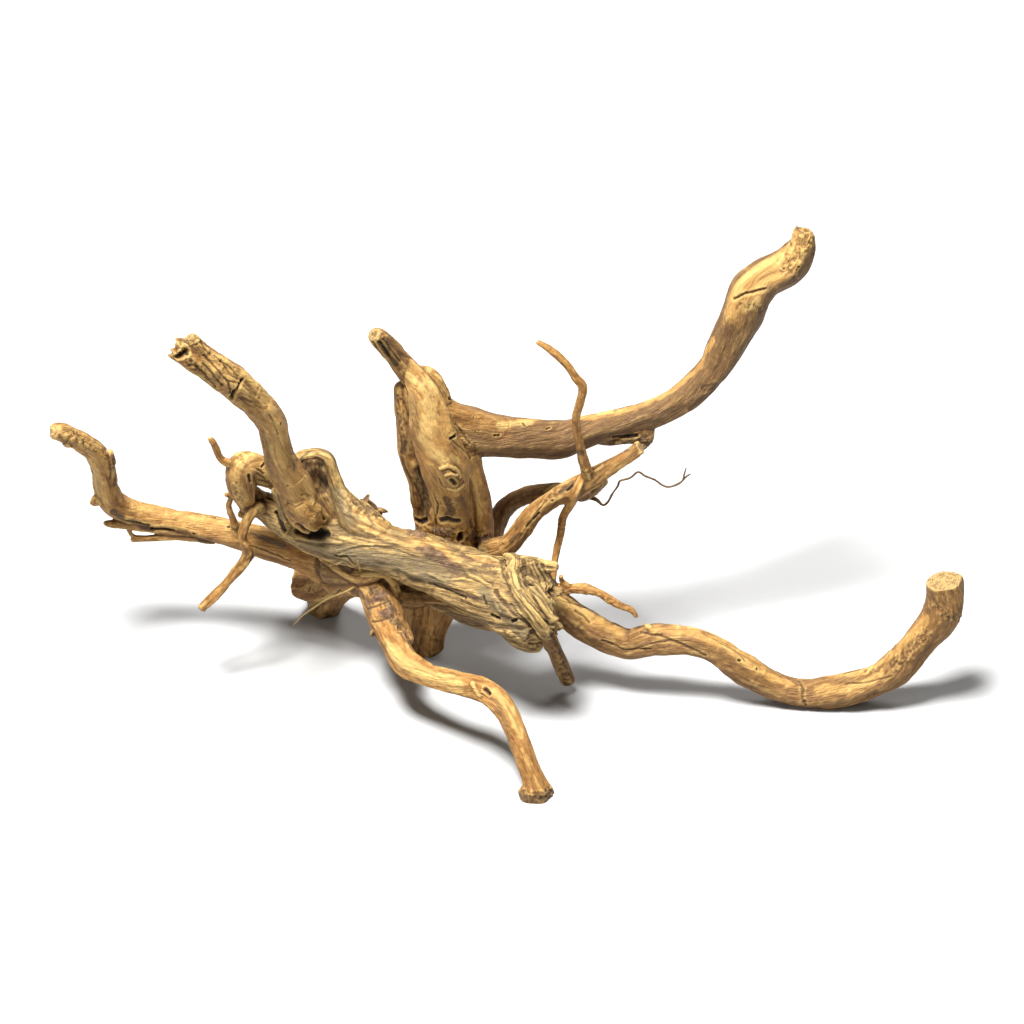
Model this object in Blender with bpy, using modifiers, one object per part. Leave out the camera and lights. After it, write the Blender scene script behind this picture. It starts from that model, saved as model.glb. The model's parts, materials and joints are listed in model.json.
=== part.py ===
"""A weathered moor root, as it grew: one stock with a sawn foot, and the arms that fork from it.

Frame: +X to the right as the root is best seen, +Y away from the viewer, +Z up, floor at Z = 0.
Every run is a list of stations (x, y, z, radius) along the middle of one strand of wood.
"""

import math

import bmesh
import bpy
from mathutils import Vector
from mathutils.bvhtree import BVHTree

# Driving dimensions, in metres.
SPAN = 0.552  # from the left arm's tip to the right arm's knob
UNIT = SPAN / 552  # the runs below are in this unit, 1 mm at this span
SAW_GAP = 0.0003  # what a cut at a fork takes away
VOXEL = 0.0012  # how finely the strands are grown together
TRIANGLES = 6250  # for the whole root, before the cuts at the forks
THINNEST = 1.5  # least radius, in units, of a strand that is grown into the root
SMOOTHED_OFF = 0.35  # units that smoothing takes off a strand, added before it
STATION_STEP = 4.0  # units between the rings of a strand
BACK_SHIFT = 40.0  # units from the middle of the stock's foot plane to the root's middle
HAIR_SIDES = 6  # sides of a hair root's tube
HAIR_STEP = 3.0  # units between its rings
HAIR_ACROSS = Vector((0.13, 0.91, 0.37))  # a direction across every hair root
FINE_STEPS = 20  # places tried between two of its stations
FLOOR_DEPTH = 30.0  # units of wood that the floor plane may trim away

# The stock: the log that lies across the front, with the foot and the lower trunk behind it.
LOG = [
    (-157, 15, 116, 4), (-153, 15, 108.5, 6.5), (-146, 13, 103.5, 8.5), (-134, 11, 96, 10.5),
    (-120, 7, 90, 11.5), (-103, 1, 89, 13.5), (-85, -5, 90, 15), (-67, -12, 89, 15.5),
    (-49, -20, 87, 16), (-31, -28, 84, 17), (-13, -37, 80, 20), (2, -44, 77, 22), (14, -49, 74, 21.5),
    (22, -52, 72, 17),
]
BUTT_RIDGE = [(2, -36, 96, 9), (16, -40, 100, 5.5), (26, -42, 101.5, 2.8)]
BUTT_LOWER_LIP = [(-7, -46, 64, 6.5), (6, -53, 55, 6.6), (15, -55, 52.5, 4.8)]
BUTT_RIGHT_LIP = [(11, -56, 78, 9), (22, -60, 71, 6), (26, -61, 67, 3)]
BUTT_LONG_CRAG = [
    (-3, -32, 101, 3.4), (1, -37, 102, 4.6), (0, -44, 97, 5.4), (3.6, -53, 93, 6), (9, -60, 88, 6),
    (14.4, -65, 81, 5.6), (19.8, -66, 72, 5), (23.4, -64.5, 66.5, 3.2),
]
BUTT_SHORT_CRAG = [
    (4, -48, 97, 3.4), (11.4, -52, 93, 4.6), (16.8, -58, 88.5, 5), (21.6, -62, 82.5, 4.8),
    (26.4, -64, 75, 3.4),
]
BUTT_FAN = [(16.8, -42, 102, 3), (22, -43, 91.5, 3), (24.6, -41, 82, 2.4)]
BUTT_FAN_FOLD = [(12, -42, 104, 3), (17, -45, 94.5, 3), (21, -46, 84, 3)]
ARCH = [
    (-129, 11, 141.5, 4.6), (-125, 12, 144.5, 4), (-117, 12, 146, 3.8), (-110.5, 11, 143, 4.2),
    (-107, 9, 132, 4.2), (-103, 6, 120, 5.6), (-95, 1, 108, 9.5), (-81, -5, 97, 11),
]
ARCH_WEB = [(-122, 26, 129, 6.5), (-119.5, 23, 122, 8.5), (-114, 19, 113, 9.5), (-108, 14, 98, 10)]
BARK_LUMP = [
    (-91, 9, 94, 6.5), (-92.5, 15, 101, 5), (-88, 17.5, 102, 4.6), (-83, 17, 97, 4), (-78, 11, 90, 4),
]
BARK_SPIKES = [
    [(-91, 15, 101, 3.4), (-88.5, 16, 107, 2.2), (-86.4, 17, 111.5, 0.9)],
    [(-93, 13, 102, 3.2), (-96, 12, 110.5, 1.2)],
    [(-84, 16, 98, 3), (-79, 17, 99.5, 2), (-75.5, 17, 98.5, 0.9)],
    [(-82, 16, 95, 3), (-76.8, 17, 93, 1.2)],
]
TRUNK_KNOB = [(-52, 6, 208, 6.5), (-48.5, 6, 203, 7.5), (-45, 6, 190, 8.5)]
TRUNK_CORE = [
    (-54.5, 13, -4, 12.6), (-53.5, 13, 11, 13.4), (-48.5, 13, 35, 15.4), (-40, 13, 61, 18),
    (-37, 13, 88, 19), (-38, 13, 110, 18), (-40, 12, 133, 18), (-43, 10, 157, 18), (-49, 8, 180, 15),
    (-55, 7, 199, 12.5), (-56, 7, 205, 10),
]
TRUNK_LEFT = [
    (-64.5, 6, 199, 6.3), (-63.2, 4, 181, 6.8), (-61.5, 4, 154, 6.5), (-56, 6, 130, 6.5),
    (-53, 12, 106, 7.4), (-51, 12, 84, 8), (-55.5, 8, 53, 9), (-61, 6, 27, 9.3), (-62, 8, 3, 9),
]
TRUNK_SWIRL = [
    (-64, 3, 221, 4), (-58, 0, 212, 6.5), (-53, -4, 203, 9.6), (-50, -7, 191, 11.8),
    (-47.5, -10, 178, 13.2), (-42, -12, 161, 14), (-38.5, -11, 148, 13.5), (-38, -6, 134, 11.5),
    (-34, -4, 108, 11), (-32, -4, 85, 10),
]
TRUNK_RIGHT = [
    (-37, 7, 173, 7.5), (-29, 4, 160, 8.5), (-24.5, 3, 140, 7), (-20.5, 4, 117, 7.2), (-19, 4, 94, 7.5),
    (-20, 2, 73, 8),
]
LEFT_FOOT = [(-96, 20, 48, 13), (-108, 32, 34, 13.2), (-120, 40, 26, 11.8), (-131.5, 44, 25, 10)]
LEFT_FOOT_HEEL = [(-104, 28, 37, 11.5), (-113.5, 45, 11, 10.8), (-115.5, 49, 0, 9.2)]
UNDER_JOINT = [(-106, 12, 55, 13), (-84, -2, 60, 11), (-58, 5, 49, 12)]
BACK_WEB = [(-119, 20, 81, 10), (-100, 14, 72, 13), (-78, 8, 69, 13), (-58, 5, 72, 11)]
UNDER_FILL = [(-110, 6, 64, 9), (-90, 0, 66, 10), (-70, -4, 66, 9.5)]
UNDER_STRAND = [(-74, -12, 61, 5), (-61, -16, 59, 4), (-43, -20, 61, 3.8), (-25, -26, 64, 4.5)]
UNDER_MASS = [(-41, -8, 56, 12), (-26, -20, 55.5, 12), (-12, -30, 57, 10.5)]
UNDER_CURL = [
    (-114, 6, 74, 3.5), (-103, -2, 71, 5), (-91, -8, 69, 5.5), (-79, -14, 76, 3.7), (-73, -16, 73, 2.8),
    (-70, -16, 64, 2.8), (-69, -16, 55, 3),
]
HORN_STRAND = [(-141, -5, 131, 3.4), (-139.5, -4, 124, 3.3), (-138, -3, 117, 3.2), (-136, 0, 107, 3.5)]

# The arms on the right.
UPPER_ARM = [
    (-41, 10, 170, 13.5), (-25, 11, 163, 14), (-7, 14, 157.6, 12.8), (11, 17, 154, 11.8),
    (29, 20, 151, 11.2), (47, 23, 155.5, 9.1), (56, 24.5, 157, 8.8), (65, 26, 158.6, 8.5),
    (83, 30, 161.5, 8.6), (98, 34, 167.3, 9), (110.5, 38, 176, 9.6), (122.5, 42, 189.5, 9.8),
    (131.3, 46, 208, 11.4), (138, 49, 222, 13.2), (142.3, 51, 236, 13), (151, 54, 245, 11.6),
    (164.5, 57, 251.8, 11), (172.6, 59, 263.3, 8.8), (174, 60, 275.5, 6.3),
]
UPPER_ARM_ROOT = [(-49, 5, 187, 10.5), (-38, 6, 179, 9.5), (-24, 9, 170, 9), (-8, 12, 162, 9)]
UPPER_ARM_FLAKE = [(46, 22, 151, 4), (60, 23, 149, 5), (72, 25, 150, 6), (80, 26, 150, 6.5)]
UPPER_ARM_SPUR = [(78, 28, 156, 7), (80.5, 25, 150, 5.2), (80, 23, 146, 3.6), (77, 21, 143.5, 2.4)]
CROWN_STUB = [
    (-57.5, 6, 205, 7.6), (-65, 4, 217, 6.7), (-72, 1, 231, 6.4), (-78, -2, 240.5, 6.5),
    (-80, -3, 243.5, 5.9),
]
MIDDLE_ARM = [
    (-15, -6, 87, 6.8), (-3.5, -8, 92, 6.7), (5, -9, 103.3, 6.3), (13, -10, 117.5, 5.8),
    (24.5, -11, 129, 5.4), (37, -12, 137.5, 6.3), (46.3, -12, 144, 5.9), (56, -12, 151.5, 5.3),
    (67, -12, 160, 4.6), (77, -12, 168, 4),
]
LOOP_ROOT = [
    (-13, 18, 79, 7), (-9, 24, 86, 6.3), (-3, 29, 94, 5.6), (8, 32, 99, 5.4), (20, 31, 103, 5.1),
    (32, 24, 108.5, 4.6), (42, 12, 115, 4), (49, 0, 128, 3.7), (54, -8, 140, 3.6),
]
RISING_TWIG = [
    (46, -13, 146, 4), (43, -16, 160, 3.3), (40, -18, 177, 2.7), (38, -20, 195, 2.5),
    (40.3, -21, 208, 2.6), (42, -21, 219, 2.7), (37.4, -20, 226, 2.5), (32.7, -19, 234, 2.6),
    (27.2, -18, 240, 2.5), (20.3, -16, 245, 2.1), (15.3, -15, 248, 1.6),
]
BRIDGE_TWIG = [
    (42.5, -13.8, 147.6, 2.6), (39, -17.1, 140.6, 3), (36, -15, 130, 2.9), (30.8, -8, 113.5, 2.7),
    (29.2, -6, 99, 2.4), (26.8, -10, 89.5, 2.3), (25, -16, 80, 2.2), (24, -21, 70.5, 2.5),
]
LOWER_ARM = [
    (4, -28, 68, 9), (18, -24, 65, 9), (30, -23, 57, 9), (40, -25, 48, 9.6), (53, -28, 40.4, 9),
    (70, -31, 34.9, 8.7), (81, -33, 38.6, 9.3), (90, -34, 40.5, 9), (107, -37, 41.3, 8),
    (122, -39, 36.3, 7.8), (137, -41, 25.5, 8.7), (154, -43, 14.7, 8.5), (171, -44, 8, 8.6),
    (188, -45, 8.2, 9.4), (206, -45, 12.4, 10.1), (223, -44, 19.2, 10.1), (236.5, -42, 31.2, 11),
    (247, -40, 46.5, 10.5), (257.5, -37, 60.6, 11.8), (260.5, -35, 74, 12.2), (259.4, -34, 85.5, 11.2),
]
SIDE_TWIG = [
    (24, -22, 70, 3.5), (34, -22, 69.5, 3.2), (43, -24, 71.5, 3.3), (52, -26, 69.6, 2.6),
    (60, -28, 65.3, 2.8), (66.5, -30, 62.5, 2.4), (72, -31, 60.5, 1.9), (74.5, -32, 57.2, 1.5),
]
SIDE_TWIG_SPUR = [(33, -22, 72, 2.2), (29.6, -22, 76.5, 1.6), (29.6, -23, 80, 1.5)]
PEG_ROOT = [
    (16, -44, 64, 6.5), (20, -42, 52, 5.5), (25.6, -40, 37, 4.5), (29.2, -37, 24, 4.6),
    (33.7, -33, 9, 4.4),
]

# The front leg and the arms on the left.
FRONT_LEG = [
    (-86, -4, 60, 9), (-80, -14, 55, 11.4), (-75.2, -28, 49, 10.9), (-70, -42, 43.5, 8.8),
    (-63.6, -55, 39.7, 8.5), (-49, -68, 39.2, 7.1), (-32, -80, 42.5, 7), (-19, -89, 45.2, 7.8),
    (-9.6, -98, 45.2, 7.6), (-2.2, -107, 39.2, 6.7), (4.2, -117, 28.2, 6.3), (9.6, -126.5, 16, 6.5),
    (12.6, -130.5, 9, 6.8), (14, -132.3, 5, 8), (14.2, -132.5, 2.2, 10.2), (14.2, -132.5, -2, 10.4),
]
FRONT_LEG_HOOK = [(-77, -33, 48, 2.2), (-81.5, -33, 48, 1.5), (-84.4, -33, 45.2, 1.2), (-85, -33, 42, 1)]
FRONT_LEG_BURL = [(-67, -30, 46, 5), (-63, -38, 43, 4.5)]
LEFT_ARM = [
    (-106, 12, 57, 13), (-126, 19, 64.5, 10.7), (-145, 24, 68.3, 9.6), (-166, 27, 73.5, 9),
    (-187, 29, 78, 8.1), (-206, 30, 82.5, 7), (-226, 29, 88, 7.3), (-239.6, 26, 97, 8.2),
    (-244.3, 22, 113, 7.5), (-245.4, 18, 130, 7.2), (-250.6, 12, 147, 6.6), (-259, 5, 160.6, 6),
    (-268.5, -2, 172.4, 5.8), (-272.6, -6, 176, 4.6),
]
LEFT_ARM_SPUR = [(-242, 14, 138, 4), (-241.4, 12, 146.6, 2.5)]
LEFT_ARM_LUMP = [(-264, -3, 170, 4), (-266.4, -3, 165.5, 3), (-266, -3, 163, 1.8)]
LEFT_ARM_ELBOW = [(-243, 22, 106, 5.5), (-249.5, 22, 104, 4.4), (-252.5, 22, 101.5, 2.6)]
LEFT_ARM_SLIVER = [
    (-196, 27, 76.5, 3.6), (-214, 26, 78.8, 3.4), (-230, 25, 82.3, 3), (-244, 24, 84.2, 2.2),
    (-246.5, 24, 84.6, 1.2),
]
LEFT_ARM_SPLINT = [
    (-181, 27, 69.7, 3.3), (-202, 26, 72.7, 2.5), (-217, 25, 72.6, 2.2), (-229.5, 25, 71.5, 1.8),
]
LEFT_ARM_SPLINTER = [(-220, 25, 72.5, 1.8), (-229, 25, 73.5, 1.6), (-232, 25, 79, 1.5)]
CURLED_TWIG = [
    (-172.4, 15, 113, 1.5), (-169.4, 16, 110, 1.6), (-170.8, 17, 103.7, 1.8), (-170, 17, 98, 2),
    (-168.5, 21, 90, 2.1), (-167, 25, 80, 2.5),
]
HORN = [
    (-117, 8, 97, 9), (-124, 1, 109, 10), (-126.3, -4, 119, 10.8), (-130, -8, 135, 10.6),
    (-137.3, -13, 156.5, 9.4), (-141, -17, 178, 8.5), (-143.5, -21, 194, 8.2), (-150.5, -26, 210, 8.5),
    (-160, -31, 225, 9.6), (-171.5, -36, 240, 10.4), (-183, -40, 253, 9.2), (-191.5, -43, 260.5, 7.8),
    (-199, -44, 265.5, 5.8),
]
HORN_KNOB = [(-183, -41, 260, 5.5), (-188.5, -42, 270, 3.8)]
HORN_LOBE = [(-130, -9, 134, 9), (-126, -11, 124, 9.5), (-121.5, -12, 119.5, 7.6)]
CROOK = [
    (-141, 15.5, 122.5, 6.2), (-143.5, 15, 125.5, 7), (-150.5, 12, 132.5, 8.2), (-159, 8, 140, 9.2),
    (-163, 5, 138, 9), (-162.6, 5, 125, 8.4), (-160.5, 7, 114, 5.8), (-158.5, 11, 105, 4.4),
    (-151, 14, 103, 6),
]
CROOK_KNOT = [(-159.5, 10, 106, 3.5), (-162.5, 9, 102, 2.8)]
CROOK_TWIG = [
    (-166, 5, 142, 3), (-173.5, 3, 147.5, 2.4), (-176.2, 2, 154, 2.3), (-178, 1, 160.5, 2.2),
    (-180.5, 0, 165.8, 1.8),
]
HANGING_ROOT = [
    (-151, 8, 109, 3.5), (-156, 2, 110, 4), (-160.5, -4, 104, 3.3), (-162, -7, 96, 2.7),
    (-158.4, -9, 89, 4), (-161.8, -11, 81, 3.6), (-170, -14, 71, 2.9), (-178.4, -17, 61.4, 3.2),
    (-187, -21, 54.6, 2.6),
]

# The hair roots: thin loose threads of root, one under the middle arm and one at the left foot.
ROOT_HAIR = [
    (43.5, 11, 115, 1.7), (50.4, 8, 114.6, 1.3), (54.6, 7, 111, 0.8), (57.6, 6, 114, 0.75),
    (60.6, 5, 121.5, 0.7), (63.6, 5, 126.8, 0.7), (64.8, 4, 131.3, 0.7), (70.8, 3, 134.3, 0.65),
    (75.6, 3, 138.8, 0.65), (79.8, 3, 135.8, 0.65), (85.8, 3, 132.8, 0.65), (90, 2, 129.8, 0.65),
    (94.2, 2, 128.3, 0.65), (99.6, 2, 130.5, 0.65), (102.6, 2, 133.5, 0.6), (103.2, 2, 137.3, 0.55),
    (104.4, 2, 142.5, 0.4),
]
ROOT_HAIR_FORK = [(102.4, 2, 133.2, 0.55), (105, 2, 136.5, 0.5), (107, 2, 138, 0.4)]
STUMP_HAIR = [
    (-94.2, -9, 62.3, 0.7), (-100, -10, 58.6, 0.6), (-112, -4, 48, 0.6), (-121.2, 6, 33, 0.55),
    (-127.2, 11, 24, 0.5), (-133.2, 16, 12.8, 0.35),
]
HAIRS = [("root_hair", [ROOT_HAIR, ROOT_HAIR_FORK]), ("stump_hair", [STUMP_HAIR])]

# Every strand that the stock and the arms are grown from, with the number of soft ridges round it.
STRANDS = [
    (LOG, 7), (BUTT_RIDGE, 4), (BUTT_LOWER_LIP, 4), (BUTT_RIGHT_LIP, 4), (BUTT_LONG_CRAG, 4),
    (BUTT_SHORT_CRAG, 4), (BUTT_FAN, 4), (BUTT_FAN_FOLD, 4), (ARCH, 4), (ARCH_WEB, 4), (BARK_LUMP, 5),
    (TRUNK_KNOB, 4), (TRUNK_CORE, 6), (TRUNK_LEFT, 4), (TRUNK_SWIRL, 5), (TRUNK_RIGHT, 4),
    (LEFT_FOOT, 7), (LEFT_FOOT_HEEL, 7), (UNDER_JOINT, 4), (BACK_WEB, 5), (UNDER_FILL, 4),
    (UNDER_STRAND, 4), (UNDER_MASS, 5), (UNDER_CURL, 4), (HORN_STRAND, 4), (UPPER_ARM, 5),
    (UPPER_ARM_ROOT, 4), (UPPER_ARM_FLAKE, 4), (UPPER_ARM_SPUR, 4), (CROWN_STUB, 5), (MIDDLE_ARM, 5),
    (LOOP_ROOT, 4), (RISING_TWIG, 4), (BRIDGE_TWIG, 4), (LOWER_ARM, 5), (SIDE_TWIG, 4),
    (SIDE_TWIG_SPUR, 4), (PEG_ROOT, 5), (FRONT_LEG, 5), (FRONT_LEG_BURL, 5), (FRONT_LEG_HOOK, 3),
    (LEFT_ARM, 5), (LEFT_ARM_SPUR, 4), (LEFT_ARM_LUMP, 4), (LEFT_ARM_ELBOW, 4), (LEFT_ARM_SLIVER, 4),
    (LEFT_ARM_SPLINT, 4), (LEFT_ARM_SPLINTER, 4), (CURLED_TWIG, 4), (HORN, 6), (HORN_KNOB, 4),
    (HORN_LOBE, 5), (CROOK, 5), (CROOK_KNOT, 4), (CROOK_TWIG, 4), (HANGING_ROOT, 4),
] + [(spike, 3) for spike in BARK_SPIKES]

# Hollows and cracks: middle, half sizes along, across and into the wood, and the turn about Y in degrees.
HOLLOWS = [
    ((-29, -9, 99), (2.4, 6, 4.6), 0), ((-119, -12, 107.5), (9, 7, 3.6), 4),
    ((-113.5, -13, 122), (2, 6, 7), 8), ((-100, -17, 87), (7, 5, 2.4), 12),
    ((-37, -43, 85), (12, 5, 2.2), 27), ((-163, -42, 231), (1.7, 8, 9.5), 28),
    ((-199, -52, 266), (5.5, 7, 5), 0), ((-227, 20, 88.5), (12, 5, 2.2), 4),
    ((142, 37, 247), (10, 4, 1.3), -22), ((-52, -4, 121), (2, 5, 15), -6),
    ((-15, -98, 51.5), (3, 4, 3.4), 0), ((-2, -68, 88), (5, 8, 2.2), 35),
    ((9, -68, 76), (6, 8, 2.4), 40), ((60, -36, 44), (12, 4, 1.3), 20),
    ((-78, -8, 236), (2.6, 4.5, 6.5), -22), ((-58, -14, 103), (14, 4, 1.5), 4),
]

# Where each arm forks off: its name, its run, the station of the cut, a station that is surely
# the arm's own, the cut's half width and the arm's colour.
WARM = (0.52, 0.32, 0.14)
TAN = (0.47, 0.31, 0.16)
STRAW = (0.58, 0.46, 0.27)
DUSKY = (0.33, 0.22, 0.13)
ARMS = [
    ("upper_arm", UPPER_ARM, 2.0, 8, 15, WARM), ("crown_stub", CROWN_STUB, 1.5, 3, 9, TAN),
    ("horn", HORN, 3.6, 8, 15, TAN), ("left_arm", LEFT_ARM, 1.3, 6, 15.5, WARM),
    ("left_foot", LEFT_FOOT, 1.0, 3, 22, DUSKY), ("crook", CROOK, 5.6, 3, 9, TAN),
    ("hanging_root", HANGING_ROOT, 1.5, 5, 7, WARM), ("front_leg", FRONT_LEG, 2.4, 6, 14.5, WARM),
    ("lower_arm", LOWER_ARM, 2.1, 10, 14, WARM), ("peg_root", PEG_ROOT, 2.0, 4, 8, DUSKY),
    ("side_twig", SIDE_TWIG, 1.3, 4, 5.5, TAN), ("middle_arm", MIDDLE_ARM, 1.1, 9, 10, TAN),
    ("loop_root", LOOP_ROOT, 1.0, 4, 9, DUSKY), ("rising_twig", RISING_TWIG, 0.8, 6, 7, WARM),
    ("bridge_twig", BRIDGE_TWIG, 2.6, 4, 5, TAN),
]
SECOND_CUTS = [(LOOP_ROOT, 7.2, 6.5), (BRIDGE_TWIG, 6.2, 5)]
TRUNK_SEAT = ((-40, 10, 89), (0, 0.55, 0.83), 40)
TRUNK_TIP = (-49, -6, 196)


def clear_scene():
    for item in list(bpy.data.objects):
        bpy.data.objects.remove(item, do_unlink=True)


def new_collection(name):
    group = bpy.data.collections.new(name)
    bpy.context.scene.collection.children.link(group)
    return group


def place(point):
    """A point of a run, in metres in the root's frame."""
    return Vector((point[0], point[1] + BACK_SHIFT, point[2])) * UNIT


def point_at(run, index):
    """The point and radius at a fractional station of a run, on a smooth line through its stations."""
    last = len(run) - 1
    low = min(int(index), last - 1)
    part = index - low
    ends = [run[min(max(low + shift, 0), last)] for shift in (-1, 0, 1, 2)]
    values = []
    for before, start, end, after in zip(*ends):
        bend = (end - before) * part + (2 * before - 5 * start + 4 * end - after) * part ** 2
        values.append(start + 0.5 * (bend + (3 * start - before - 3 * end + after) * part ** 3))
    return values


def heading_at(run, index):
    ahead = point_at(run, min(index + 0.05, len(run) - 1))
    behind = point_at(run, max(index - 0.05, 0))
    return Vector([a - b for a, b in zip(ahead[:3], behind[:3])]).normalized()


def smooth_line(run):
    """Points about STATION_STEP apart along a run."""
    points = []
    for index in range(len(run) - 1):
        length = math.dist(run[index][:3], run[index + 1][:3])
        steps = max(1, round(length / STATION_STEP))
        points += [point_at(run, index + step / steps) for step in range(steps)]
    return points + [point_at(run, len(run) - 1)]


def ridged_profile(ridges, group):
    """The outline that a strand is swept from, a circle with soft ridges."""
    curve = bpy.data.curves.new(f"profile_{ridges}", "CURVE")
    curve.dimensions = "2D"
    line = curve.splines.new("POLY")
    count = ridges * 5
    line.points.add(count - 1)
    for index, point in enumerate(line.points):
        angle = 2 * math.pi * index / count
        radius = UNIT * (1 + 0.07 * math.cos(ridges * angle) + 0.03 * math.cos(2 * angle))
        point.co = (radius * math.cos(angle), radius * math.sin(angle), 0, 1)
    line.use_cyclic_u = True
    profile = bpy.data.objects.new(curve.name, curve)
    profile.hide_render = True
    profile.display_type = "WIRE"
    group.objects.link(profile)
    return profile


def strand(run, profile, group):
    """One strand of wood, swept along its run with a slow twist and closed at both ends."""
    curve = bpy.data.curves.new("strand", "CURVE")
    curve.dimensions = "3D"
    curve.bevel_mode = "OBJECT"
    curve.bevel_object = profile
    curve.use_fill_caps = True
    line = curve.splines.new("POLY")
    stations = smooth_line(run)
    line.points.add(len(stations) - 1)
    for index, (point, station) in enumerate(zip(line.points, stations)):
        point.co = (*place(station), 1)
        point.radius = max(station[3], THINNEST) + SMOOTHED_OFF
        point.tilt = 0.035 * index
    sweep = bpy.data.objects.new("strand", curve)
    group.objects.link(sweep)
    bpy.context.view_layer.update()
    evaluated = sweep.evaluated_get(bpy.context.evaluated_depsgraph_get())
    mesh = bpy.data.meshes.new_from_object(evaluated)
    shape = bmesh.new()
    shape.from_mesh(mesh)
    bmesh.ops.remove_doubles(shape, verts=shape.verts, dist=0.0001)
    bmesh.ops.recalc_face_normals(shape, faces=shape.faces)
    shape.transform(sweep.matrix_world)
    shape.to_mesh(mesh)
    shape.free()
    bpy.data.objects.remove(sweep, do_unlink=True)
    return mesh


def add_modifier(item, kind, **values):
    modifier = item.modifiers.new(kind.lower(), kind)
    for name, value in values.items():
        setattr(modifier, name, value)
    return modifier


def apply_modifiers(item):
    bpy.context.view_layer.update()
    evaluated = item.evaluated_get(bpy.context.evaluated_depsgraph_get())
    mesh = bpy.data.meshes.new_from_object(evaluated)
    item.modifiers.clear()
    item.data = mesh


def grow_together(group, cutters):
    """All strands as one skin, with weathered lumps, thinned to the wanted number of triangles."""
    joined = bmesh.new()
    profiles = {}
    for run, ridges in STRANDS:
        if ridges not in profiles:
            profiles[ridges] = ridged_profile(ridges, cutters)
        joined.from_mesh(strand(run, profiles[ridges], group))
    mesh = bpy.data.meshes.new("root")
    joined.to_mesh(mesh)
    joined.free()
    root = bpy.data.objects.new("root", mesh)
    group.objects.link(root)
    add_modifier(root, "REMESH", mode="VOXEL", voxel_size=VOXEL)
    add_modifier(root, "SMOOTH", factor=0.5, iterations=4)
    lumps = bpy.data.textures.new("lumps", "CLOUDS")
    lumps.noise_scale = 0.016
    add_modifier(root, "DISPLACE", texture=lumps, texture_coords="GLOBAL", strength=0.002)
    apply_modifiers(root)
    faces = sum(len(face.vertices) - 2 for face in root.data.polygons)
    add_modifier(root, "DECIMATE", ratio=TRIANGLES / faces, use_collapse_triangulate=True)
    apply_modifiers(root)
    return root


def cutter(name, shape, group):
    mesh = bpy.data.meshes.new(name)
    shape.to_mesh(mesh)
    shape.free()
    item = bpy.data.objects.new(name, mesh)
    item.hide_render = True
    item.display_type = "WIRE"
    group.objects.link(item)
    return item


def hollow(index, centre, sizes, turn, group):
    shape = bmesh.new()
    bmesh.ops.create_icosphere(shape, subdivisions=2, radius=UNIT)
    item = cutter(f"hollow_{index}", shape, group)
    item.location = place(centre)
    item.scale = sizes
    item.rotation_euler = (0, math.radians(turn), 0)
    return item


def saw_plate(name, centre, heading, half_width, group):
    """A thin round plate square to a heading, as wide as the wood it parts."""
    shape = bmesh.new()
    bmesh.ops.create_cone(
        shape, cap_ends=True, segments=24, radius1=half_width * UNIT, radius2=half_width * UNIT,
        depth=SAW_GAP,
    )
    item = cutter(name, shape, group)
    item.location = place(centre)
    item.rotation_mode = "QUATERNION"
    item.rotation_quaternion = Vector(heading).to_track_quat("Z", "Y")
    return item


def floor_block(group):
    """What lies below the floor, so that the feet get level soles."""
    shape = bmesh.new()
    bmesh.ops.create_cube(shape, size=1)
    item = cutter("floor", shape, group)
    item.scale = (SPAN * 1.2, SPAN, FLOOR_DEPTH * UNIT)
    item.location = (0, 0, -FLOOR_DEPTH * UNIT / 2)
    return item


def cut_away(item, tools):
    for tool in tools:
        add_modifier(item, "BOOLEAN", operation="DIFFERENCE", solver="EXACT", object=tool)
        apply_modifiers(item)


def loose_shells(mesh):
    """The faces of each body in a mesh."""
    shape = bmesh.new()
    shape.from_mesh(mesh)
    seen = set()
    shells = []
    for face in shape.faces:
        if face.index in seen:
            continue
        todo = [face]
        seen.add(face.index)
        shell = []
        while todo:
            current = todo.pop()
            shell.append(current.index)
            for edge in current.edges:
                for other in edge.link_faces:
                    if other.index not in seen:
                        seen.add(other.index)
                        todo.append(other)
        shells.append(shell)
    shape.free()
    return shells


def body_from(mesh, shell):
    """A mesh of one body's faces."""
    keep = set(shell)
    shape = bmesh.new()
    shape.from_mesh(mesh)
    bmesh.ops.delete(shape, geom=[f for f in shape.faces if f.index not in keep], context="FACES")
    bmesh.ops.dissolve_degenerate(shape, dist=0.00001, edges=shape.edges)
    bmesh.ops.triangulate(shape, faces=shape.faces)
    body = bpy.data.meshes.new("body")
    shape.to_mesh(body)
    shape.free()
    return body


def wood(name, colour):
    material = bpy.data.materials.new(name)
    material.use_nodes = True
    shader = material.node_tree.nodes["Principled BSDF"]
    shader.inputs["Base Color"].default_value = (*colour, 1)
    shader.inputs["Roughness"].default_value = 0.8
    shader.inputs["Metallic"].default_value = 0
    return material


def nearest(bodies, point):
    goal = place(point)
    return min(range(len(bodies)), key=lambda i: min((v.co - goal).length for v in bodies[i].vertices))


def part_at_forks(root, group):
    """One object for each body, named by the tip that it ends in; a flat scrap of a cut is no body."""
    bodies = [body_from(root.data, shell) for shell in loose_shells(root.data)]
    bodies = [body for body in bodies if len(body.polygons) > 3]
    names = {}
    for name, run, _, own, _, colour in ARMS:
        names.setdefault(nearest(bodies, run[own]), (name, colour))
    names.setdefault(nearest(bodies, TRUNK_TIP), ("trunk", TAN))
    names.setdefault(nearest(bodies, LOG[5]), ("stock", STRAW))
    bpy.data.objects.remove(root, do_unlink=True)
    for index, body in enumerate(bodies):
        name, colour = names.get(index, (f"crumb_{index}", DUSKY))
        body.materials.append(wood(name, colour))
        body.shade_smooth()
        body.set_sharp_from_angle(angle=math.radians(50))
        group.objects.link(bpy.data.objects.new(name, body))


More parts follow.
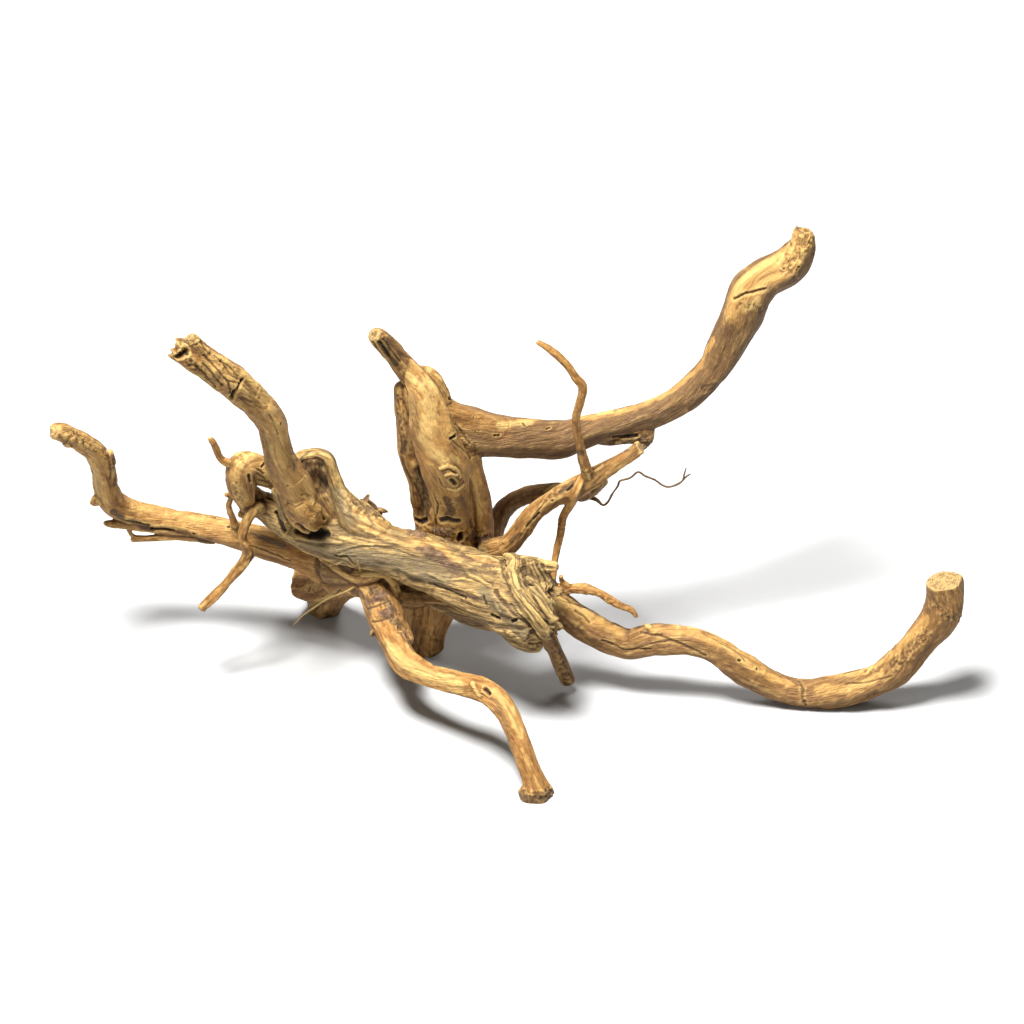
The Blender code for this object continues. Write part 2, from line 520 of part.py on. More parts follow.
def surface_of(item):
    """A search tree of a mesh's faces."""
    shape = bmesh.new()
    shape.from_mesh(item.data)
    tree = BVHTree.FromBMesh(shape)
    shape.free()
    return tree


def ring_round(point, forward, across):
    """The corners of a hair root's ring at a point of its run."""
    across = (across - forward * across.dot(forward)).normalized()
    other = forward.cross(across)
    corners = []
    for side in range(HAIR_SIDES):
        turn = 2 * math.pi * side / HAIR_SIDES
        out = across * math.cos(turn) + other * math.sin(turn)
        corners.append(place(point) + out * point[3] * UNIT)
    return corners, across


def is_clear(point, forward, wood_faces):
    """Whether the whole ring of a hair root has left the wood."""
    for corner in ring_round(point, forward, HAIR_ACROSS)[0]:
        near, normal, _, distance = wood_faces.find_nearest(corner)
        if (corner - near).dot(normal) < 0 or distance < SAW_GAP:
            return False
    return True


def hair_points(run, wood_faces):
    """Points HAIR_STEP apart along a run, from where it leaves the wood."""
    count = (len(run) - 1) * FINE_STEPS
    fine = [point_at(run, index / FINE_STEPS) for index in range(count + 1)]
    buried = []
    for index, point in enumerate(fine):
        forward = heading_at(run, index / FINE_STEPS)
        if not is_clear(point, forward, wood_faces):
            buried.append(index)
    fine = fine[max(buried, default=-1) + 1:]
    points = [fine[0]]
    for point in fine:
        if math.dist(point[:3], points[-1][:3]) >= HAIR_STEP:
            points.append(point)
    if math.dist(fine[-1][:3], points[-1][:3]) < HAIR_STEP / 2:
        points.pop()
    return points + [fine[-1]]


def thread(run, wood_faces):
    """A closed six-sided tube along a run, from where it leaves the wood."""
    points = hair_points(run, wood_faces)
    shape = bmesh.new()
    rings = []
    across = HAIR_ACROSS
    for index, point in enumerate(points):
        ahead = place(points[min(index + 1, len(points) - 1)])
        forward = (ahead - place(points[max(index - 1, 0)])).normalized()
        corners, across = ring_round(point, forward, across)
        rings.append([shape.verts.new(corner) for corner in corners])
    for low, high in zip(rings, rings[1:]):
        for side in range(HAIR_SIDES):
            after = (side + 1) % HAIR_SIDES
            shape.faces.new((low[side], low[after], high[after], high[side]))
    shape.faces.new(rings[0][::-1])
    shape.faces.new(rings[-1])
    bmesh.ops.recalc_face_normals(shape, faces=shape.faces)
    bmesh.ops.triangulate(shape, faces=shape.faces)
    return shape


def add_hair(name, runs, wood_faces, group):
    """A hair root as one closed solid: its first run, with any fork joined on."""
    bodies = []
    for run in runs:
        mesh = bpy.data.meshes.new(name)
        shape = thread(run, wood_faces)
        shape.to_mesh(mesh)
        shape.free()
        bodies.append(bpy.data.objects.new(name, mesh))
        group.objects.link(bodies[-1])
    hair = bodies[0]
    for fork in bodies[1:]:
        add_modifier(hair, "BOOLEAN", operation="UNION", solver="EXACT", object=fork)
        apply_modifiers(hair)
        bpy.data.objects.remove(fork, do_unlink=True)
    hair.data.materials.clear()
    hair.data.materials.append(wood(name, DUSKY))
    hair.data.shade_smooth()


def main():
    clear_scene()
    group = new_collection("moor_root")
    cutters = new_collection("cutters")
    root = grow_together(group, cutters)
    tools = [hollow(index, *values, cutters) for index, values in enumerate(HOLLOWS)]
    tools.append(floor_block(cutters))
    tools.append(saw_plate("trunk_seat", *TRUNK_SEAT, cutters))
    cuts = [(run, at, half_width) for _, run, at, _, half_width, _ in ARMS] + SECOND_CUTS
    for index, (run, at, half_width) in enumerate(cuts):
        middle, heading = point_at(run, at)[:3], heading_at(run, at)
        tools.append(saw_plate(f"fork_{index}", middle, heading, half_width, cutters))
    cut_away(root, tools)
    wood_faces = surface_of(root)
    part_at_forks(root, group)
    for name, runs in HAIRS:
        add_hair(name, runs, wood_faces, group)


main()
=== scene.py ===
"""A weathered moor root: a thick lying stock with a foot, and the arms that grew from it."""

import json
import math

import bmesh
import bpy
import numpy as np
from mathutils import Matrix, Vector
from mathutils.bvhtree import BVHTree

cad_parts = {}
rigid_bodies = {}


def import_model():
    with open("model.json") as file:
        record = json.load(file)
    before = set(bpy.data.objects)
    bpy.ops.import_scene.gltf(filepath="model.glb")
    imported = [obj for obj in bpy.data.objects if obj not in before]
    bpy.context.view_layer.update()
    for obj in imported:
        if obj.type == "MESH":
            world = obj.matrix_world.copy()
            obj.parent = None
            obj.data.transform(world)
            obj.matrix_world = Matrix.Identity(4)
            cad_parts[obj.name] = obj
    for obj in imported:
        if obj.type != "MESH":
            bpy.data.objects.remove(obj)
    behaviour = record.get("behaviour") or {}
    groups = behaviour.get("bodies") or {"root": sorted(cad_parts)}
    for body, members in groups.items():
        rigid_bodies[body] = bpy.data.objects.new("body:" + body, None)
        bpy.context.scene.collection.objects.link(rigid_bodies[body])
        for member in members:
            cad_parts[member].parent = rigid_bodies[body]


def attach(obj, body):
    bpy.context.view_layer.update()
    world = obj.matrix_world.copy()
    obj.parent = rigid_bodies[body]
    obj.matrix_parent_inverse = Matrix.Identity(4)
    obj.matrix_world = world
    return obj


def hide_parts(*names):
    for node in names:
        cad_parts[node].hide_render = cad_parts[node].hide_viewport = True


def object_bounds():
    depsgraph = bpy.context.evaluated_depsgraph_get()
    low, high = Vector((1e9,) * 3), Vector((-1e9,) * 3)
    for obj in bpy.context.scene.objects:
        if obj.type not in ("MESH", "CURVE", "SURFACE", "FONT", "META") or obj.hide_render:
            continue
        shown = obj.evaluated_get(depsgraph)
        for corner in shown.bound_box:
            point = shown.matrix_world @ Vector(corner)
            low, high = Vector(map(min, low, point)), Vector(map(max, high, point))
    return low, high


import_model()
cad_low, cad_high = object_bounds()

# The viewer, the floor and the lamps: the root lies on a plain pale floor under soft studio lamps,
# and is looked at from the front, 37 degrees down, through a long lens.
MM = 0.001
BACK_SHIFT = 40.0  # mm from the plane of the foot's front to the middle of the root
TO_VIEWER = Vector((0, -0.8, 0.6))
PICTURE_UP = Vector((0, 0.6, 0.8))
PICTURE_WIDTH = 614.4  # mm that the picture shows at the root's middle
VIEW_DISTANCE = 6000.0
aim = Vector((0, -10 + BACK_SHIFT, 118.5))
eye = aim + TO_VIEWER * VIEW_DISTANCE

camera_data = bpy.data.cameras.new("viewer")
camera_data.lens = camera_data.sensor_width * VIEW_DISTANCE / PICTURE_WIDTH
camera_data.clip_end = 100
camera = bpy.data.objects.new("viewer", camera_data)
camera.location = eye * MM
camera.rotation_mode = "QUATERNION"
camera.rotation_quaternion = (-TO_VIEWER).to_track_quat("-Z", "Y")
bpy.context.scene.collection.objects.link(camera)
bpy.context.scene.camera = camera
bpy.context.scene.view_settings.view_transform = "Standard"

floor_mesh = bpy.data.meshes.new("floor")
floor_mesh.from_pydata([(-6, -6, 0), (6, -6, 0), (6, 6, 0), (-6, 6, 0)], [], [(0, 1, 2, 3)])
floor = bpy.data.objects.new("floor", floor_mesh)
floor_paint = bpy.data.materials.new("floor_paint")
floor_paint.use_nodes = True
floor_shader = floor_paint.node_tree.nodes["Principled BSDF"]
floor_shader.inputs["Base Color"].default_value = (0.42, 0.42, 0.416, 1)
floor_shader.inputs["Roughness"].default_value = 0.9
floor_shader.inputs["Specular IOR Level"].default_value = 0.1
floor_mesh.materials.append(floor_paint)
bpy.context.scene.collection.objects.link(floor)

world = bpy.data.worlds.new("studio")
world.use_nodes = True
world.node_tree.nodes["Background"].inputs["Color"].default_value = (1.0, 0.99, 0.97, 1)
world.node_tree.nodes["Background"].inputs["Strength"].default_value = 0.12
bpy.context.scene.world = world

LAMPS = [  # place, watts, width, all in metres
    ((-1.0, -0.8, 4.8), 715, 1.3),
    ((-2.6, -2.9, 2.6), 26, 1.6),
    ((1.6, 2.4, 4.0), 90, 2.0),
]
for number, (place, watts, width) in enumerate(LAMPS):
    lamp_data = bpy.data.lights.new(f"softbox_{number}", "AREA")
    lamp_data.energy = watts
    lamp_data.size = width
    lamp = bpy.data.objects.new(f"softbox_{number}", lamp_data)
    lamp.location = place
    lamp.rotation_mode = "QUATERNION"
    lamp.rotation_quaternion = (-Vector(place)).to_track_quat("-Z", "Y")
    bpy.context.scene.collection.objects.link(lamp)


# The stock: the thick log across the front, bleached and deeply grooved, with a torn butt at the
# right and an arch at its left end. Each strand of wood is a run of stations (x, y, z, radius) in
# mm, swept with soft ridges; all strands are grown together further down, as in the real root.
STRANDS = []
STEP = 1.6  # mm between the rings of a strand
SLANTING = np.array((0.13, 0.91, 0.37))  # a direction that no strand runs in
SOUND_WOOD = dict(
    groove=0.2, lump=0.6, fibre=0.06, wrinkle=0.5, bleach=0.0, dusk=0.0, grain=4.5, flow=6, tear=0.0,
)


def smooth_line(run):
    """Points STEP apart on a smooth line through a run's stations."""
    stations = np.array(run, float)
    stations[:, 1] += BACK_SHIFT
    padded = np.vstack([stations[:1], stations, stations[-1:]])
    points = []
    for index in range(len(stations) - 1):
        a, b, c, d = padded[index:index + 4]
        steps = max(2, round(np.linalg.norm(c[:3] - b[:3]) / STEP))
        for t in np.arange(steps) / steps:
            curve = (2 * a - 5 * b + 4 * c - d) * t ** 2 + (3 * b - a - 3 * c + d) * t ** 3
            points.append(b + 0.5 * ((c - a) * t + curve))
    return np.array(points + [stations[-1]])


def framed(line, across):
    """The heading of a line at each point, and two directions square to it that don't twist round it."""
    centre = line[:, :3]
    heading = np.gradient(centre, axis=0)
    heading /= np.linalg.norm(heading, axis=1)[:, None]
    side = np.zeros_like(centre)
    for index, forward in enumerate(heading):
        across = across - forward * across.dot(forward)
        across = across / np.linalg.norm(across)
        side[index] = across
    return dict(centre=centre, radius=line[:, 3], heading=heading, side=side, other=np.cross(heading, side))


def grow(run, ridges=5, end="round", **look):
    """Adds one strand of wood and how its surface has weathered."""
    line = smooth_line(run)
    first = line[1, :3] - line[0, :3]
    strand = framed(line, np.cross(first / np.linalg.norm(first), SLANTING))
    steps = np.linalg.norm(np.diff(strand["centre"], axis=0), axis=1)
    strand["along"] = np.concatenate([[0], np.cumsum(steps)])
    STRANDS.append(strand | SOUND_WOOD | look | dict(ridges=ridges, end=end, seed=len(STRANDS) * 11))


MARKS = []
FRONT, BACK = -1, 1  # the side that a mark is seen from


def mark(kind, width, depth, *paths, side=FRONT):
    """Notes marks of weather and of painted shade and painted highlight, each by its path on the picture
    plane in mm from the picture's middle.
    """
    MARKS.extend((kind, width, depth, path, side) for path in paths)


LOG = [
    (-157, 15, 116, 4), (-153, 15, 108.5, 6.5), (-146, 13, 103.5, 8.5), (-134, 11, 96, 10.5),
    (-120, 7, 90, 11.5), (-103, 1, 89, 13.5), (-85, -5, 90, 15), (-67, -12, 89, 15.5), (-49, -20, 87, 16),
    (-31, -28, 84, 17), (-13, -37, 80, 20), (2, -44, 77, 22), (14, -49, 74, 21.5), (22, -52, 72, 17),
]
BUTT_RIDGE = [(2, -36, 96, 9), (16, -40, 100, 5.5), (26, -42, 101.5, 2.8)]
BUTT_LOWER_LIP = [(-7, -46, 64, 6.5), (6, -53, 55, 6.6), (15, -55, 52.5, 4.8)]
BUTT_RIGHT_LIP = [(11, -56, 78, 9), (22, -60, 71, 6), (26, -61, 67, 3)]
BUTT_LONG_CRAG = [
    (-3, -32, 101, 3.4), (1, -37, 102, 4.6), (0, -44, 97, 5.4), (3.6, -53, 93, 6), (9, -60, 88, 6),
    (14.4, -65, 81, 5.6), (19.8, -66, 72, 5), (23.4, -64.5, 66.5, 3.2),
]
BUTT_SHORT_CRAG = [
    (4, -48, 97, 3.4), (11.4, -52, 93, 4.6), (16.8, -58, 88.5, 5), (21.6, -62, 82.5, 4.8),
    (26.4, -64, 75, 3.4),
]
BUTT_FAN = [(16.8, -42, 102, 3), (22, -43, 91.5, 3), (24.6, -41, 82, 2.4)]
BUTT_FAN_FOLD = [(12, -42, 104, 3), (17, -45, 94.5, 3), (21, -46, 84, 3)]
ARCH = [
    (-129, 11, 141.5, 4.6), (-125, 12, 144.5, 4), (-117, 12, 146, 3.8), (-110.5, 11, 143, 4.2),
    (-107, 9, 132, 4.2), (-103, 6, 120, 5.6), (-95, 1, 108, 9.5), (-81, -5, 97, 11),
]
ARCH_WEB = [(-120, 26, 131, 7.5), (-119.5, 23, 122, 8.5), (-114, 19, 113, 9.5), (-108, 14, 98, 10)]
BARK_LUMP = [
    (-91, 9, 94, 6.5), (-92.5, 15, 101, 5), (-88, 17.5, 102, 4.6), (-83, 17, 97, 4), (-78, 11, 90, 4),
]
BARK_SPIKES = [
    [(-91, 15, 101, 3.4), (-88.5, 16, 107, 2.2), (-86.4, 17, 111.5, 0.9)],
    [(-93, 13, 102, 3.2), (-96, 12, 110.5, 1.2)],
    [(-84, 16, 98, 3), (-79, 17, 99.5, 2), (-75.5, 17, 98.5, 0.9)],
    [(-82, 16, 95, 3), (-76.8, 17, 93, 1.2)],
]
UNDER_JOINT = [(-106, 12, 55, 13), (-84, -2, 60, 11), (-58, 5, 49, 12)]
BACK_WEB = [(-119, 20, 81, 10), (-100, 14, 72, 13), (-78, 8, 69, 13), (-58, 5, 72, 11)]
UNDER_FILL = [(-110, 6, 64, 9), (-90, 0, 66, 10), (-70, -4, 66, 9.5)]
UNDER_STRAND = [(-74, -12, 61, 5), (-61, -16, 59, 4), (-43, -20, 61, 3.8), (-25, -26, 64, 4.5)]
UNDER_MASS = [(-41, -8, 56, 12), (-26, -20, 55.5, 12), (-12, -30, 57, 10.5)]
UNDER_CURL = [
    (-114, 6, 74, 3.5), (-103, -2, 71, 5), (-91, -8, 69, 5.5), (-79, -14, 76, 3.7), (-73, -16, 73, 2.8),
    (-70, -16, 64, 2.8), (-69, -16, 55, 3),
]
HORN_STRAND = [(-141, -5, 131, 3.4), (-139.5, -4, 124, 3.3), (-138, -3, 117, 3.2), (-136, 0, 107, 3.5)]

WORN = dict(groove=0.65, fibre=0.25, bleach=0.8, grain=6, flow=12)
grow(LOG, 7, end="flat", lump=1.0, tear=3.5, **WORN)
grow(BUTT_RIDGE, 4, **WORN)
grow(BUTT_LOWER_LIP, 4, **WORN)
grow(BUTT_RIGHT_LIP, 4, **WORN)
CRAG = dict(groove=0.65, fibre=0.4, bleach=0.9, grain=3.2, flow=18, lump=0.9)
grow(BUTT_LONG_CRAG, 4, **CRAG)
grow(BUTT_SHORT_CRAG, 4, **CRAG)
grow(BUTT_FAN, 4, **CRAG)
grow(BUTT_FAN_FOLD, 4, dusk=0.35, **CRAG)
grow(ARCH, 4, groove=0.5, bleach=0.7)
# The web lies back in the arch's recess and is coloured dark as painted shade.
grow(ARCH_WEB, 4, groove=0.9, dusk=0.7, bleach=0.2)
grow(BARK_LUMP, 5, groove=0.8, dusk=0.95)
for spike in BARK_SPIKES:
    grow(spike, 3, dusk=1.0, lump=1.2)
grow(UNDER_JOINT, 4, bleach=0.1, dusk=0.35)
grow(BACK_WEB, 5, bleach=0.3, dusk=0.5)
grow(UNDER_FILL, 4, dusk=0.8)
grow(UNDER_STRAND, 4, groove=0.5, dusk=0.5)
grow(UNDER_MASS, 5, groove=0.8, bleach=0.6, dusk=0.2)
grow(UNDER_CURL, 4, groove=0.3, bleach=0.2, dusk=0.1)
grow(HORN_STRAND, 4, groove=0.4, bleach=0.8)
mark("fresh", 8.0, 0.2, [(-97, 1), (-84, -8), (-70, -13), (-56, -18)], [(-55, -17), (-43, -22)])
mark("light", 2.0, 0.3, [(-100, 9), (-94, 2)], [(-74, -6), (-66, -8), (-59, -11), (-49, -17)])
mark("grey", 9.5, 0.1, [(-120, -20), (-108, -23), (-91, -27), (-72, -31), (-55, -35), (-40, -40)])
mark("grey", 6.0, 0.1, [(-106, 12), (-103, 4), (-97, -5)], [(-17, -48), (-10, -56), (-1, -66), (8, -73)])
mark("fresh", 4.0, 0.2, [(-25, -26), (-17, -29), (-10, -31)], [(-40, -26), (-32, -29)])
mark("dusk", 4.5, 0.1, [(-100, -25), (-84, -29), (-68, -32)], [(-60, -39), (-46, -41)],
     [(-16, -52), (-7, -60)])
mark("bark", 3.6, 0.3, [(-50, -23), (-43, -28), (-37, -32), (-32, -35)])
mark("bark", 1.6, 0.2, [(-57, -22), (-50, -23)], [(-30, -26), (-25, -28)], [(-17, -32), (-11, -33)])
mark("pale", 1.3, 0.6, [(-50, -37), (-40, -41), (-28, -40)], [(-27, -36), (-20, -40), (-13, -44)],
     [(-52, -22), (-47, -25)])
mark("pale", 2.4, 0.4, [(-18, -26), (-9, -29)], [(-8, -37), (-2, -42)], [(-20, -22), (-16, -23)])
mark("hole", 1.2, 1.4, [(-4, -29), (-4, -32)], [(7, -39), (10, -41)], [(11, -43), (13, -43)])
mark("hole", 1.5, 1.6, [(-12, -62), (-8, -64)], [(0, -66), (2, -65)])
mark("crack", 0.8, 1.3, [(-17, -50), (-15, -56)])
mark("shade", 7.0, 0.2, [(-16, -50), (-10, -56), (-2, -64)], [(-7, -66), (0, -71)])
mark("light", 1.6, 0.3, [(-10, -55), (-7, -60)])
mark("dusk", 2.2, 1.0, [(-10, -48), (-4, -55), (2, -62), (10, -68), (18, -77)],
     [(7, -29), (7, -35), (9, -43)])
mark("rough", 2.6, 0.5, [(-4, -72), (5, -78), (14, -80)], [(22, -55), (26, -62)], [(17, -77), (23, -73)])
# A painted shadow: the dark band under a ridge of the log.
mark("dusk", 3.0, 0.7, [(-49, -43), (-38, -46), (-28, -50), (-19, -53)])
mark("crack", 0.9, 1.2, [(-47, -44), (-37, -48), (-28, -52)])
mark("crease", 1.0, 1.3, [(5, -47), (10, -54), (16, -60), (23, -68)], [(-1, -55), (5, -62), (13, -71)])
mark("crease", 0.7, 0.8, [(-1, -36), (1, -43), (6, -51)], [(8, -49), (14, -56), (22, -64)],
     [(13, -48), (19, -54), (23, -61)])
mark("light", 2.4, 0.2, [(2, -28), (1, -35), (2, -42), (6, -49), (12, -58), (20, -68), (23, -74)])
mark("light", 2.2, 0.2, [(11, -46), (17, -52), (22, -59), (26, -67)], [(-1, -73), (6, -78), (13, -80)],
     [(17, -29), (23, -31), (26, -32)])
mark("crease", 0.9, 1.0, [(12, -32), (16, -40), (19, -47)], [(14, -30), (19, -39), (22, -47)],
     [(18, -32), (22, -40)])
mark("crack", 1.1, 2.0, [(-106, -26), (-100, -27), (-94, -30)])
mark("pale", 1.2, 0.6, [(-109, -32), (-102, -29), (-93, -33)], [(-92, -29), (-91, -35)])
# The gap under the horn's lobe, coloured near black as painted shade.
mark("hole", 2.9, 2.4, [(-128, -8), (-124, -11), (-119, -13), (-112, -11)],
     [(-128, -11), (-122, -14), (-116, -14), (-111, -13)])
mark("hole", 1.5, 3.5, [(-116, 5), (-114, 0), (-112, -5)])
# Painted shade in the recess behind the arch.
mark("dusk", 5.0, 1.0, [(-124, 26), (-116, 25), (-113, 20), (-114, 13)],
     [(-125, 29), (-119, 31), (-114, 29)])
mark("dusk", 2.5, 0.2, [(-150, 7), (-148, 4)], [(-154, 9), (-150, 6)])
mark("hole", 1.7, 1.8, [(-141, 0), (-139, -5), (-137, -11)])
mark("hole", 1.3, 1.2, [(-147, 9), (-145, 8)])
mark("pale", 3.6, 0.4, [(-152, 4), (-146, -3), (-139, -13), (-130, -19)])
mark("pale", 2.6, 0.5, [(-142, 13), (-139, 7), (-137, 1)])
mark("pale", 2.2, 0.8, [(-128, -15), (-120, -17), (-112, -17), (-103, -18)])
mark("pale", 2.0, 0.6, [(-100, 0), (-88, -5), (-76, -11), (-64, -14)],
     [(-106, -14), (-96, -17), (-84, -20)])
mark("shade", 4.5, 0.3, [(-109, -22), (-96, -23), (-82, -26), (-67, -30), (-53, -36)])
mark("pale", 3.0, 0.5, [(1, -30), (0, -37), (4, -46), (9, -55), (14, -64)],
     [(11, -47), (17, -53), (22, -60), (26, -68)])
mark("pale", 2.0, 0.6, [(-2, -72), (4, -77), (11, -80)], [(16, -29), (21, -30), (26, -31)],
     [(17, -33), (22, -41), (24, -47)])
mark("crease", 0.7, 0.5, [(-80, -21), (-68, -23), (-56, -28)], [(-97, -32), (-82, -35), (-67, -40)])
mark("rough", 6.0, 1.3, [(-94, 4), (-86, 2), (-79, -2)])
mark("dusk", 4.5, 0.0, [(-94, 5), (-88, 3), (-80, -1)])
mark("hole", 1.8, 0.5, [(-79, -1), (-75, -4)])
mark("light", 2.2, 0.2,
     [(-131, 33), (-124, 35), (-116, 36), (-110, 34), (-107, 28), (-104, 19), (-100, 10)])
mark("dusk", 3.6, 0.6, [(-96, -48), (-90, -50)], [(-103, -31), (-97, -35)])
mark("light", 2.0, 0.5, [(-90, -38), (-83, -37), (-76, -38), (-71, -43)])

# The trunk: the upright part behind the log, smooth and warm above with a pale band, furrowed
# below, and standing on a level foot under the log.
TRUNK_CORE = [
    (-54.5, 13, -4, 12.6), (-53.5, 13, 11, 13.4), (-48.5, 13, 35, 15.4), (-40, 13, 61, 18),
    (-37, 13, 88, 19), (-38, 13, 110, 18), (-40, 12, 133, 18), (-43, 10, 157, 18), (-49, 8, 180, 15),
    (-55, 7, 199, 12.5), (-56, 7, 205, 10),
]
TRUNK_LEFT = [
    (-64.5, 6, 199, 6.3), (-63.2, 4, 181, 6.8), (-61.5, 4, 154, 6.5), (-56, 6, 130, 6.5),
    (-53, 12, 106, 7.4), (-51, 12, 84, 8), (-55.5, 8, 53, 9), (-61, 6, 27, 9.3), (-62, 8, 3, 9),
]
TRUNK_SWIRL = [
    (-64, 3, 221, 4), (-58, 0, 212, 6.5), (-53, -4, 203, 9.6), (-50, -7, 191, 11.8),
    (-47.5, -10, 178, 13.2), (-42, -12, 161, 14), (-38.5, -11, 148, 13.5), (-38, -6, 134, 11.5),
    (-34, -4, 108, 11), (-32, -4, 85, 10),
]
TRUNK_RIGHT = [
    (-37, 7, 173, 7.5), (-29, 4, 160, 8.5), (-24.5, 3, 140, 7), (-20.5, 4, 117, 7.2), (-19, 4, 94, 7.5),
    (-20, 2, 73, 8),
]
TRUNK_KNOB = [(-52, 6, 208, 6.5), (-48.5, 6, 203, 7.5), (-45, 6, 190, 8.5)]
grow(TRUNK_KNOB, 4, groove=0.2, bleach=0.1)
grow(TRUNK_CORE, 6, groove=0.3, lump=0.7, bleach=0.05)
grow(TRUNK_LEFT, 4, groove=0.6, dusk=0.12)
grow(TRUNK_SWIRL, 5, groove=0.15, lump=0.45, bleach=0.25)
grow(TRUNK_RIGHT, 4, groove=0.35, bleach=0.1, dusk=0.1)
mark("fresh", 7.5, 0.0, [(-44, 80), (-40, 64), (-37, 52)], [(-26, 26), (-22, 10), (-19, -5)],
     [(-62, 70), (-61, 58)])
mark("light", 7.0, 0.2, [(-50, 76), (-50, 67), (-50, 58), (-51, 48)])
mark("light", 5.5, 0.1, [(-53, 43), (-48, 36), (-41, 30)])
mark("light", 3.0, 0.1, [(-36, 34), (-32, 30)], [(-65, 84), (-59, 78)])
mark("hole", 1.3, 1.3, [(-38, 68), (-36, 67)], [(-37, 44), (-34, 46)])
mark("hole", 0.8, 0.7, [(-60, 55)], [(-28, 40)], [(-22, 48)], [(-30, 65), (-26, 62)], [(-23, 57)])
mark("crease", 0.7, 0.6, [(-34, 53), (-29, 47), (-25, 41)], [(-36, 43), (-30, 38), (-25, 32)],
     [(-43, 84), (-40, 77), (-38, 72)])
mark("rough", 4.5, 0.5, [(-30, 43), (-23, 37), (-20, 32)])
mark("hole", 1.9, 1.5, [(-36, 19), (-34, 17)])
mark("light", 1.7, 0.9, [(-43, 26), (-39, 28), (-34, 26), (-31, 21)], [(-39, 14), (-34, 13), (-29, 16)])
mark("light", 1.3, 0.8, [(-40, 22), (-37, 23), (-33, 22)])
mark("crease", 0.7, 0.8, [(-41, 25), (-37, 26), (-34, 23)], [(-44, 20), (-42, 16), (-38, 13)])
mark("crease", 0.7, 0.4, [(-25, 13), (-25, 0)])
mark("shade", 6.0, 0.0, [(-60, 67), (-59, 52), (-59, 37)], [(-34, 7), (-34, -2)])
mark("dusk", 6.5, 1.2, [(-56, 23), (-54, 13), (-52, 4), (-53, -2)])
mark("dusk", 4.0, 0.5, [(-40, 8), (-36, 1), (-38, -2)])
mark("rough", 4.5, 0.6, [(-56, 23), (-54, 13), (-52, 4)], [(-67, 67), (-67, 52), (-66, 37)],
     [(-38, 7), (-37, 0)])
mark("crack", 0.9, 1.3, [(-47, 11), (-45, 4), (-46, -5), (-45, -12)])
mark("hole", 2.1, 1.6, [(-59, -4), (-55, -6), (-52, -5)], [(-43, -5), (-39, -4), (-35, -5), (-32, -5)])
mark("light", 2.4, 0.4, [(-45, -11), (-38, -11), (-34, -13)], [(-25, -11), (-18, -14)],
     [(-50, -9), (-47, -11)])
mark("shade", 5.0, 0.0, [(-66, 55), (-65, 46), (-62, 36)], [(-30, 7), (-29, -2)])
mark("bark", 2.6, 0.6, [(-60, -12), (-53, -14)], [(-46, -11), (-38, -12)], [(-25, -14), (-16, -17)])
mark("rough", 6.0, 0.8, [(-59, -12), (-46, -13), (-34, -12), (-16, -16)])
mark("hole", 2.4, 3.6, [(-31, -13), (-31, -16)])
mark("light", 2.2, 0.3, [(-25, 22), (-21, 10), (-19, -2), (-20, -10)])
mark("dusk", 2.6, 0.3, [(-65, 42), (-66, 36)], [(-25, -5), (-23, -12)])

# The crown stub: the snag on top of the trunk, tan wood that broke off and split down its front
# face, so that the hollow shows dark. It grew out of the trunk's swirl.
CROWN_STUB = [
    (-57.5, 6, 205, 7.6), (-65, 4, 217, 6.7), (-72, 1, 231, 6.4), (-78, -2, 240.5, 6.5),
    (-80, -3, 243.5, 5.9),
]
grow(CROWN_STUB, 5, groove=0.6, bleach=0.1, dusk=0.2)
mark("crack", 1.3, 1.6, [(-80, 102), (-77, 97), (-74, 93)])
mark("crease", 1.0, 0.9, [(-76, 103), (-72, 97), (-67, 90)], [(-84, 102), (-79, 95), (-73, 88)])
mark("dusk", 2.6, 0.6, [(-79, 101), (-74, 94), (-70, 88)])
mark("rough", 5.0, 0.5, [(-80, 107), (-74, 97)])

# The upper arm: the longest arm, smooth warm wood, brown below, partly in its own colour and partly as
# painted shade, and paler along its top as painted highlight, with a ragged flake and a dark hollow under
# it and a torn, crumbling end. It leaves the fork on a flare at the trunk's right.
UPPER_ARM = [
    (-41, 10, 170, 13.5), (-25, 11, 163, 14), (-7, 14, 157.6, 12.8), (11, 17, 154, 11.8),
    (29, 20, 151, 11.2), (47, 23, 155.5, 9.1), (56, 24.5, 157, 8.8), (65, 26, 158.6, 8.5),
    (83, 30, 161.5, 8.6), (98, 34, 167.3, 9), (110.5, 38, 176, 9.6), (122.5, 42, 189.5, 9.8),
    (131.3, 46, 208, 11.4), (138, 49, 222, 13.2), (142.3, 51, 236, 13), (151, 54, 245, 11.6),
    (164.5, 57, 251.8, 11), (172.6, 59, 263.3, 8.8), (174, 60, 275.5, 6.3),
]
UPPER_ARM_ROOT = [(-49, 5, 187, 10.5), (-38, 6, 179, 9.5), (-24, 9, 170, 9), (-8, 12, 162, 9)]
UPPER_ARM_FLAKE = [(46, 22, 151, 4), (60, 23, 149, 5), (72, 25, 150, 6), (80, 26, 150, 6.5)]
UPPER_ARM_SPUR = [(78, 28, 156, 7), (80.5, 25, 150, 5.2), (80, 23, 146, 3.6), (77, 21, 143.5, 2.4)]
# Its dusk is partly the arm's own brown and partly painted shade.
grow(UPPER_ARM, 5, end="flat", groove=0.15, lump=0.5, wrinkle=0.2, dusk=0.85, tear=2.5)
grow(UPPER_ARM_ROOT, 4, groove=0.2, dusk=0.2)
grow(UPPER_ARM_FLAKE, 4, groove=0.6, dusk=0.7)
grow(UPPER_ARM_SPUR, 4, groove=0.6, dusk=0.6)
